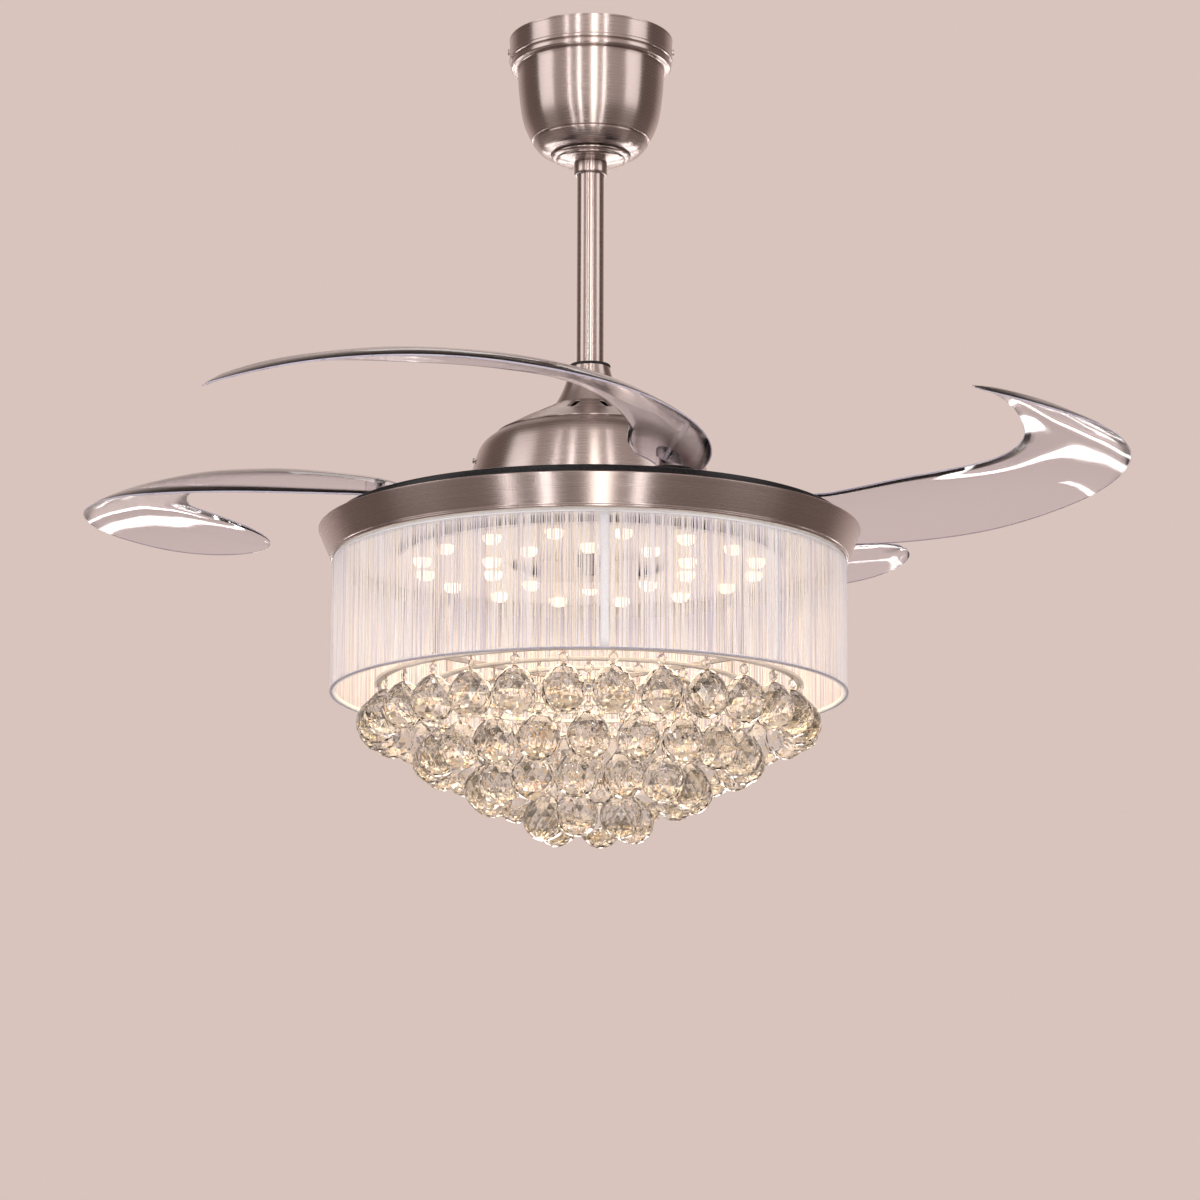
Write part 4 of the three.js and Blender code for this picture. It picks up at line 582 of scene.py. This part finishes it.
def build_vent_ring():
    """A thin cone with a ring of slots, each with straight sides and rounded ends."""
    start, end = SLOT_IN[0], SLOT_OUT[0]
    fall = (SLOT_OUT[1] - SLOT_IN[1]) / (end - start)
    line = [(33, 382.3), (37, 382.3), (38.5, 383.1), SLOT_IN]
    line += [(r, SLOT_IN[1] + (r - start) * fall) for r in range(start + 2, end, 2)]
    line += [SLOT_OUT, (71, 399.5), (80, 404.6), (88, 409), (91.2, 410.9), (92, 411)]
    half = SLOT_WIDTH / 2
    step = 2 * math.pi / SLOTS
    points, faces = [], []
    between = 5  # points across the metal from one slot to the next
    columns = SLOTS * (between + 2)
    for r, d in line:
        for k in range(SLOTS):
            middle = (k + 0.5) * step
            inside = min(max(r - start, 0), max(end - r, 0))
            reach = half if inside >= half else math.sqrt(max(half ** 2 - (half - inside) ** 2, 0.04))
            edge = math.asin((reach if start <= r <= end else half) / r)
            stops = [middle - edge, middle + edge]
            gap = step - 2 * edge
            stops += [middle + edge + gap * (i + 1) / (between + 1) for i in range(between)]
            points += [(r * math.cos(a), r * math.sin(a), -d) for a in stops]
    for i in range(len(line) - 1):
        for j in range(columns):
            if j % (between + 2) == 0 and line[i][0] >= start and line[i + 1][0] <= end:
                continue
            a, b = i * columns + j, i * columns + (j + 1) % columns
            faces.append([a, b, b + columns, a + columns])
    ring = make("vent_ring", points, faces, nickel, STILL, ["dome_vent_ring"], 40)
    wall = ring.modifiers.new("wall", "SOLIDIFY")
    wall.thickness = 1.3 * MM
    wall.offset = -1


def build_motor_cover():
    """The cone, the vent ring and the dome with its two screws."""
    outer = curve_through([(19.8, 341), (23.0, 353.3), (28.2, 367.2), (36, 382)], 20)
    lathe("coupler_cone", walled(outer, 1.2), nickel_bright, STILL, ["coupler_cover"],
          96, 0)
    build_vent_ring()
    outer = curve_through([(92.5, 411.3), (106, 422), (113, 438), (120, 466.5), (123, 493.5)], 30)
    outer += [(123.4, 494.2), (123.2, 495)]
    lathe("dome_shell", walled(outer, SHELL), nickel, STILL, ["motor_dome"], 160, 0)
    for k, bearing in ((1, 10), (2, 190)):
        screw(f"dome_screw_head_{k}", around(114.8, bearing, -440), around(1, bearing, 0.1), 2.6, 1.5, zinc,
              STILL, [f"dome_screw_{k}"], 8)


# ------------------------------------------------------------------ rotor disc and band
DISC_TOP = 497.2
PIVOT = 215
AXLE = 7.5
AXLE_CLEARANCE = 0.4
BLADES = (1, 2, 3, 4)


def blade_bearing(number):
    """Where a blade's axle stands on the disc, in degrees."""
    return 20.2 + 360 / len(BLADES) * (number - 1)


def bore(obj, centres, radius, top, base):
    """Cuts round holes straight down through a piece."""
    points, faces = [], []
    for x, y in centres:
        tube(points, faces, [(x, y, top), (x, y, base)], radius, 32)
    mesh = bpy.data.meshes.new("drill")
    mesh.from_pydata([(x * MM, y * MM, z * MM) for x, y, z in points], [], faces)
    shape = bmesh.new()
    shape.from_mesh(mesh)
    bmesh.ops.recalc_face_normals(shape, faces=shape.faces)
    shape.to_mesh(mesh)
    shape.free()
    drill = bpy.data.objects.new("drill", mesh)
    bpy.context.collection.objects.link(drill)
    cut = obj.modifiers.new("bores", "BOOLEAN")
    cut.operation = "DIFFERENCE"
    cut.solver = "EXACT"
    cut.object = drill
    bpy.context.view_layer.update()
    result = bpy.data.meshes.new_from_object(obj.evaluated_get(bpy.context.evaluated_depsgraph_get()))
    obj.modifiers.clear()
    result.set_sharp_from_angle(angle=math.radians(SHARP))
    obj.data = result
    bpy.data.objects.remove(drill)


def build_disc_and_band():
    """The black disc with its bores, the studs of the toothed ring, the nickel band and the light pan."""
    tray = [(16.3, DISC_TOP), (128, DISC_TOP), (129, 497.7), (131, 497.7), (132, DISC_TOP),
            (246.5, DISC_TOP), (249.4, 498.2), (250, 500), (250, 508.2), (248, 508.2), (248, 500.2),
            (16.3, 500.2)]
    disc = lathe("rotor_tray", tray, black, ROTOR, ["rotor_disc"], 192, 0.5, 40)
    axles = [around(PIVOT, blade_bearing(number), 0)[:2] for number in BLADES]
    bore(disc, axles, AXLE + AXLE_CLEARANCE, -490, -505)
    points, faces = [], []
    for number in BLADES:
        x, y, _ = around(172.4, blade_bearing(number + 0.5), 0)
        tube(points, faces, [(x, y, -500.2), (x, y, -513.4)], 4, 16)
        tube(points, faces, [(x, y, -513.35), (x, y, -515.35)], 8, 24)
    make("sync_ring_studs", points, faces, black, ROTOR, ())
    band = [(261, 507.5), (264.2, 507.5), (265, 508.3), (264.6, 509.6), (253.6, 534.9), (253.6, 535.7),
            (252.6, 536.1), (252.6, 537.1), (252, 538), (250.4, 538), (262.9, 509.1), (261, 509.1)]
    lathe("band_shell", band, nickel, STILL, ["nickel_band"], 192, 0.3, 30)
    lathe("light_pan_plate", [(8.3, 529), (250.3, 529), (250.3, 537.5), (248.7, 537.5), (248.7, 530.6),
                              (8.3, 530.6)], white, STILL, ["light_pan"], 128, 0.4)


build_canopy()
build_motor_cover()
build_disc_and_band()


# ------------------------------------------------------------------ blades
FOLD = math.radians(86)
FOLD_CENTRE = (PIVOT * (1 - math.cos(FOLD)), -PIVOT * math.sin(FOLD))
START_BEARING, SWEEP = 79, 167.4  # degrees about the fold's centre, from root to tip
TONGUE = 15 / SWEEP
TIP_STOP = 0.9995  # the share of the length at which the tip is closed
MIDDLE_RADIUS, ROOT_BULGE, TIP_BULGE = 199, 8, 22
TONGUE_WIDTH, ROOT_WIDTH, FULL_WIDTH = 44, 70, 106
WIDEST, TIP_POWER = 0.31, 2.66
ROOT_PITCH, LEAST_PITCH, TIP_PITCH, LEAST_AT = 26, 12, 22, 0.6
ROOT_HEIGHT, RISE, ARCH, CAMBER = 21, 28.6, 3.3, 0.09
HALF_THICKNESS = 1.5
FOOT_LONG, FOOT_WIDE = 14, 12  # half sizes of the clear foot


def eased(share):
    """From 0 to 1, slow at both ends."""
    return (1 - math.cos(math.pi * min(max(share, 0), 1))) / 2


def chord_width(share):
    """Width of the blade, in millimetres."""
    if share < 0:
        return ROOT_WIDTH - (ROOT_WIDTH - TONGUE_WIDTH) * (share / TONGUE) ** 2
    if share < WIDEST:
        return ROOT_WIDTH + (FULL_WIDTH - ROOT_WIDTH) * math.sin(math.pi / 2 * share / WIDEST)
    return FULL_WIDTH * math.sqrt(max(0, 1 - ((share - WIDEST) / (1 - WIDEST)) ** TIP_POWER))


def chord_pitch(share):
    """Tilt of the blade across its width, in degrees."""
    if share < LEAST_AT:
        return ROOT_PITCH - (ROOT_PITCH - LEAST_PITCH) * eased(share / LEAST_AT)
    return LEAST_PITCH + (TIP_PITCH - LEAST_PITCH) * eased((share - LEAST_AT) / (1 - LEAST_AT))


def root_radius(share):
    """Radius of the blade's middle line near its root."""
    return MIDDLE_RADIUS + ROOT_BULGE * min(max(1 - share / 0.2, 0), 1) ** 2


def ripple(share, across):
    """The faint waves that moulding leaves along a blade."""
    return (0.34 * math.sin(9.5 * across + 5 * share + 0.6) + 0.2 * math.sin(17 * across - 11 * share + 2)
            + 0.16 * math.sin(31 * share + 6 * across))


def blade_point(share, across, lift=0.0, narrow=1.0):
    """A spot on the first blade, a share of the way to its tip and of its width off the middle."""
    bearing = math.radians(START_BEARING - SWEEP * share)
    middle = root_radius(share) + TIP_BULGE * max((share - 0.7) / 0.3, 0) ** 2
    width = chord_width(share) * narrow
    radius = middle + width * across
    height = (ROOT_HEIGHT + RISE * share + ARCH * math.sin(math.pi * max(share, 0))
              - width * across * math.tan(math.radians(chord_pitch(share)))
              + CAMBER * width * (1 - 4 * across * across) + ripple(share, across))
    return Vector((FOLD_CENTRE[0] + radius * math.cos(bearing), FOLD_CENTRE[1] + radius * math.sin(bearing),
                   -DISC_TOP + height + lift))


def build_blade(number):
    """One clear blade, with its edge in a paler tone."""
    arm = Matrix.Rotation(math.radians(blade_bearing(number)), 3, "Z")
    length_steps, width_steps = 120, 14
    points, faces, which = [], [], []
    loop = 2 * (width_steps + 1) + 2
    for i in range(length_steps + 1):
        share = -TONGUE + (1 + TONGUE) * TIP_STOP * math.sin(math.pi / 2 * i / length_steps)
        from_end = (share + TONGUE) / 0.03
        narrow = math.sqrt(1 - (1 - min(from_end, 1)) ** 2) * 0.3 + 0.7
        half = HALF_THICKNESS * min(1, 0.35 + 12 * (1 - share))
        spots = [(a, half * (0.55 if abs(a) > 0.499 else 1))
                 for a in (-0.5 + j / width_steps for j in range(width_steps + 1))]
        top = [blade_point(share, a, lift, narrow) for a, lift in spots]
        low = [blade_point(share, a, -lift, narrow) for a, lift in spots]
        outer = blade_point(share, 0.5, 0, narrow)
        inner = blade_point(share, -0.5, 0, narrow)
        outward = (outer - inner).normalized() if (outer - inner).length > 1e-6 else Vector((1, 0, 0))
        ring = top + [outer + outward * 0.7] + low[::-1] + [inner - outward * 0.7]
        points += [tuple(arm @ p) for p in ring]
    for i in range(length_steps):
        for j in range(loop):
            a, b = i * loop + j, i * loop + (j + 1) % loop
            faces.append([a, b, b + loop, a + loop])
            which.append(int(j in (width_steps, width_steps + 1, loop - 1, loop - 2)))
    faces.append(list(range(loop))[::-1])
    faces.append([length_steps * loop + j for j in range(loop)])
    which += [1, 1]
    make(f"clear_blade_{number}", points, faces, [acrylic, acrylic_edge], f"blade_arm_{number}",
         [f"blade_{number}"], 50, which)


def build_hub(number):
    """The hub: a black flange on the disc and a clear foot that follows the blade's underside."""
    arm = Matrix.Rotation(math.radians(blade_bearing(number)), 3, "Z")
    low = DISC_TOP - 0.8
    high = low - 3.4
    profile = [(0, low), (26.6, low), (27, low - 0.6), (27, low - 2.4), (25.4, high), (0, high)]
    points, faces = turned(rounded(profile, 0.8), 64)
    points = [(x + PIVOT, y, z) for x, y, z in points]
    tube(points, faces, [(PIVOT, 0, 1 - DISC_TOP), (PIVOT, 0, -516)], AXLE, 24)
    make(f"blade_flange_{number}", [tuple(arm @ Vector(p)) for p in points], faces, black,
         f"blade_arm_{number}", [f"blade_hub_{number}"], 34)
    steps = 10
    points, faces = [], []
    for i in range(steps + 1):
        for j in range(steps + 1):
            u, v = 2 * i / steps - 1, 2 * j / steps - 1
            x = PIVOT + FOOT_LONG * u * math.sqrt(1 - v * v / 2)
            y = FOOT_WIDE * v * math.sqrt(1 - u * u / 2)
            points.append((x, y, underside(x, y) - 0.3))
    for i in range(steps):
        for j in range(steps):
            a = i * (steps + 1) + j
            faces.append([a, a + 1, a + steps + 2, a + steps + 1])
    edge = [i * (steps + 1) for i in range(steps + 1)]
    edge += [steps * (steps + 1) + j for j in range(1, steps + 1)]
    edge += [i * (steps + 1) + steps for i in range(steps - 1, -1, -1)]
    edge += list(range(steps - 1, 0, -1))
    skirt = len(points)
    for index in edge:
        x, y, _ = points[index]
        points.append((x, y, -high))
    for k in range(len(edge)):
        after = (k + 1) % len(edge)
        faces.append([edge[k], edge[after], skirt + after, skirt + k])
    faces.append([skirt + k for k in range(len(edge))][::-1])
    make(f"blade_foot_{number}", [tuple(arm @ Vector(p)) for p in points], faces, clear_foot,
         f"blade_arm_{number}", (), 34)
    centre, normal = blade_root()
    screw(f"blade_screw_head_{number}", tuple(arm @ (centre + normal * 1.8)), tuple(arm @ normal), 5.5, 2.4,
          zinc, f"blade_arm_{number}", [f"blade_screw_{number}"], 12)


def share_at(out):
    """The share of the blade's length at a spot, given from the fold's centre."""
    return (START_BEARING - math.degrees(math.atan2(out.y, out.x))) / SWEEP


def blade_root():
    """A spot in the blade's thickness over its axle, and the direction square to the blade there."""
    to_pivot = Vector((PIVOT - FOLD_CENTRE[0], -FOLD_CENTRE[1]))
    share = share_at(to_pivot)
    across = (to_pivot.length - MIDDLE_RADIUS - ROOT_BULGE) / chord_width(share)
    centre = blade_point(share, across)
    along = blade_point(share + 0.01, across) - centre
    over = blade_point(share, across + 0.05) - centre
    normal = over.cross(along).normalized()
    return centre, normal if normal.z > 0 else -normal


def underside(x, y):
    """Height of the blade's lower face over a place near its root."""
    out = Vector((x - FOLD_CENTRE[0], y - FOLD_CENTRE[1]))
    share = share_at(out)
    across = (out.length - root_radius(share)) / chord_width(max(share, -TONGUE))
    return blade_point(share, across).z - HALF_THICKNESS


for number in BLADES:
    build_blade(number)
    build_hub(number)


# ------------------------------------------------------------------ lamp plate
LENS_RINGS = ((165, 16), (100, 10))  # each ring's radius and its count of lenses


def build_lamp_plate():
    """The white plate on its three spacers, and its lenses."""
    plate = rounded([(78, 538), (188, 538), (188, 541), (78, 541)], 0.5)
    points, faces = turned(plate, 128)
    for k in range(3):
        x, y, _ = around(132, 120 * k, 0)
        tube(points, faces, [(x, y, -538.5), (x, y, -530.9)], 4, 16)
    make("lamp_plate", points, faces, white, STILL, ["led_plate"])
    points, faces = [], []
    profile = [(0, 540.6), (9, 540.6), (9, 542.4), (8.4, 545.5), (6.3, 548), (3, 549), (0, 549.1)]
    dome_points, dome_faces = turned(rounded(profile, 0.8), 24)
    for radius, count in LENS_RINGS:
        for i in range(count):
            x, y, _ = around(radius, (i + 0.5) * 360 / count, 0)
            start = len(points)
            points += [(px + x, py + y, pz) for px, py, pz in dome_points]
            faces += [[start + v for v in face] for face in dome_faces]
    make("lamp_lenses", points, faces, lens_glow, STILL, (), 60)


# ------------------------------------------------------------------ shade
SHADE_TOP, SHADE_BASE = 541, 669.5
THREAD_INSET = 0.6  # from the shade's top and base to the ends of its threads


def threads(name, radius, count, widths, paints, shares, lean, instead_of=()):
    """Upright threads, each a flat ribbon a little proud at its middle, in several tones."""
    points, faces, which = [], [], []
    for i in range(count):
        bunch = 0.5 + 0.5 * math.sin(i * 0.29 + 3 * math.sin(i * 0.071) + 2 * math.sin(i * 0.013))
        if chance.random() < 0.1 * bunch:
            continue
        tone = chance.choices(range(len(paints)), shares)[0]
        start = len(points)
        bearing = 2 * math.pi * (i + chance.uniform(-0.38, 0.38)) / count
        slip = math.radians(chance.gauss(0, lean))
        half = chance.uniform(*widths) / 2 / radius
        out = radius + chance.uniform(-0.25, 0.25)
        for level in range(4):
            share = level / 3
            middle = bearing + slip * share + math.radians(chance.gauss(0, lean * 0.25)) * (0 < level < 3)
            z = -(SHADE_TOP + THREAD_INSET + (SHADE_BASE - SHADE_TOP - 2 * THREAD_INSET) * share)
            for side, proud in ((-1, 0), (0, 0.22), (1, 0)):
                a = middle + side * half
                points.append(((out + proud) * math.cos(a), (out + proud) * math.sin(a), z))
        for level in range(3):
            for side in range(2):
                a = start + level * 3 + side
                faces.append([a, a + 1, a + 4, a + 3])
                which.append(tone)
    return make(name, points, faces, paints, STILL, instead_of, 0, which, weld=False)


def build_shade():
    """Two layers of threads, two hoops, a hem at the top and the base, and two upright seams."""
    threads("shade_threads_outer", 250.7, 1240, (0.45, 1.15), [thread, thread_painted_shade, thread_painted_glow],
            [0.66, 0.22, 0.12], 0.12, ["shade"])
    threads("shade_threads_inner", 249.6, 760, (0.5, 0.9), [thread_painted_glow, thread_painted_shade], [0.75, 0.25], 0.3)
    for name, node, low, high in (("shade_top_hoop", "shade_top_ring", 537.9, 544.4),
                                  ("shade_bottom_hoop", "shade_bottom_ring", 666.1, 669.5)):
        lathe(name, [(246.1, low), (249.1, low), (249.1, high), (246.1, high)], white, STILL, [node],
              160, 1.2)
    for name, low, high, paint in (("shade_top_hem", SHADE_TOP, 542.6, seam_tape),
                                   ("shade_bottom_hem", 668, 669.6, hem)):
        lathe(name, [(249.3, low), (251.6, low), (251.6, high), (249.3, high)], paint, STILL, (),
              192, 0.9)
    for name, bearing, width in (("shade_seam_front", -86.6, 8), ("shade_seam_side", -46, 3.4)):
        points, faces = [], []
        for i in range(13):
            d = SHADE_TOP + 1 + (SHADE_BASE - SHADE_TOP - 2) * i / 12
            for j in range(5):
                spread = math.degrees(width * (j / 4 - 0.5) / 251)
                r = 251.5 - 0.4 * abs(j - 2) + 0.15 * math.sin(i * 2.1)
                points.append(around(r, bearing + spread, -d))
        for i in range(12):
            for j in range(4):
                a = i * 5 + j
                faces.append([a, a + 1, a + 6, a + 5])
        seam = make(name, points, faces, seam_tape, STILL, (), 60, weld=False)
        body = seam.modifiers.new("body", "SOLIDIFY")
        body.thickness = 0.4 * MM


# ------------------------------------------------------------------ crystals
# Each ring's radius, how far its balls hang, how many, and its turn as a share of their spacing.
TIERS = [(205, 41, 28, 0.5), (150, 76, 20, 0), (100, 104.5, 14, 0.25), (44, 133, 6, 0.25)]
RINGS = 659
BALL = 21
NECK = 1.2  # height of a ball's top over its middle, in radii
BEAD = 5
BEAD_START, BEAD_PITCH = 10, 18
# Facet tones: clear glass, painted shade, painted warm glint and deeper painted shade.
PLAIN, SHADED, WARM_GLINT, DEEP_SHADE = range(4)


def cut_ball(radius):
    """A ball with rows of triangular facets, each row turned half a step, and a drawn-up neck."""
    rows = [(12, 8), (30, 14), (50, 14), (70, 14), (90, 14), (110, 14), (130, 14), (150, 14), (168, 7)]
    points = [(0, 0, radius * NECK)]
    for row, (polar, count) in enumerate(rows):
        polar = math.radians(polar)
        shift = 0.5 * (row % 2)
        for k in range(count):
            a = 2 * math.pi * (k + shift) / count
            points.append((radius * math.sin(polar) * math.cos(a), radius * math.sin(polar) * math.sin(a),
                           radius * (math.cos(polar) + (NECK - 1) * max(math.cos(polar), 0) ** 4)))
    points.append((0, 0, -radius))
    shape = bmesh.new()
    for spot in points:
        shape.verts.new(spot)
    bmesh.ops.convex_hull(shape, input=shape.verts)
    shape.verts.ensure_lookup_table()
    shape.verts.index_update()
    spots = [tuple(v.co) for v in shape.verts]
    faces = [[v.index for v in face.verts] for face in shape.faces]
    shape.free()
    return spots, faces


def octagon(radius, thickness):
    """A flat octagonal bead with a bevelled rim, standing upright."""
    points, faces = [], []
    rows = [(radius * 0.62, thickness / 2), (radius, 0), (radius * 0.62, -thickness / 2)]
    for r, side in rows:
        for k in range(8):
            a = math.pi / 8 + math.pi * k / 4
            points.append((r * math.cos(a), side, r * math.sin(a)))
    for i in range(2):
        for k in range(8):
            faces.append([i * 8 + k, i * 8 + (k + 1) % 8, (i + 1) * 8 + (k + 1) % 8, (i + 1) * 8 + k])
    faces.append(list(range(8)))
    faces.append([16 + k for k in range(8)][::-1])
    return points, faces


def placed(points, faces, shape, turn, centre):
    """Adds a turned copy of a shape to the lists."""
    start = len(points)
    spots, shape_faces = shape
    points += [tuple(turn @ Vector(spot) + Vector(centre)) for spot in spots]
    faces += [[start + v for v in face] for face in shape_faces]


def painted_facet_light(height):
    """Painted light on a facet: painted shade (grey and smoke) gathers above a ball's middle, and painted
    warm glints (gold) below it.
    """
    draw = chance.random()
    if height > 0.05:
        return PLAIN if draw < 0.5 else SHADED if draw < 0.86 else DEEP_SHADE if draw < 0.95 else WARM_GLINT
    return PLAIN if draw < 0.5 else WARM_GLINT if draw < 0.92 else SHADED if draw < 0.96 else DEEP_SHADE


def build_tier(number, radius, hang, count, turn):
    """One ring: its strip, and its strings of wire loops, beads and a ball."""
    balls, ball_faces, wire, wire_faces = [], [], [], []
    ball, bead = cut_ball(BALL), octagon(BEAD, 3.2)
    tones = []
    beads = int((hang - BALL - BEAD - BEAD_START) // BEAD_PITCH) + 1
    for i in range(count):
        bearing = (i + turn) * 360 / count
        x, y, _ = around(radius, bearing, 0)
        spin = Matrix.Rotation(math.radians(bearing + chance.uniform(-40, 40)), 3, "Z")
        nod = Matrix.Rotation(math.radians(chance.uniform(-4, 4)), 3, "X")
        placed(balls, ball_faces, ball, spin @ nod, (x, y, -RINGS - hang))
        for face in ball[1]:
            height = sum(ball[0][v][2] for v in face) / len(face) / BALL
            tones.append(painted_facet_light(height))
        stops = [0.5]
        for k in range(beads):
            level = BEAD_START + k * BEAD_PITCH
            spin = Matrix.Rotation(math.radians(bearing + 90 + chance.uniform(-35, 35)), 3, "Z")
            placed(balls, ball_faces, bead, spin, (x, y, -RINGS - level))
            tones += [PLAIN] * len(bead[1])
            stops += [level - BEAD + 0.4, level + BEAD - 0.4]
        stops.append(hang - BALL * NECK + 1.2)
        for top, low in zip(stops[::2], stops[1::2]):
            path = []
            for k in range(10):
                a = 2 * math.pi * k / 10
                path.append((1.4 * math.cos(a), 0, -(low + top) / 2 + (low - top) / 2 * math.sin(a)))
            spots, loop_faces = [], []
            tube(spots, loop_faces, path, 0.45, 5, True)
            placed(wire, wire_faces, (spots, loop_faces), spin, (x, y, -RINGS))
    make(f"crystal_balls_{number}", balls, ball_faces, [crystal, crystal_painted_shade, crystal_painted_warm_glint, crystal_painted_deep_shade],
         STILL, [f"crystal_tier_{number}"], 0, tones, weld=False)
    strip = rounded([(radius - 3.5, RINGS), (radius + 3.5, RINGS), (radius + 3.5, RINGS + 3),
                     (radius - 3.5, RINGS + 3)], 0.5)
    points, faces = turned(strip, 128)
    make(f"crystal_strip_{number}", points, faces, pale_strip, STILL, ())
    make(f"crystal_hooks_{number}", wire, wire_faces, gold, STILL, (), 60, weld=False)


build_lamp_plate()
build_shade()
for number, (radius, hang, count, turn) in enumerate(TIERS, 1):
    build_tier(number, radius, hang, count, turn)
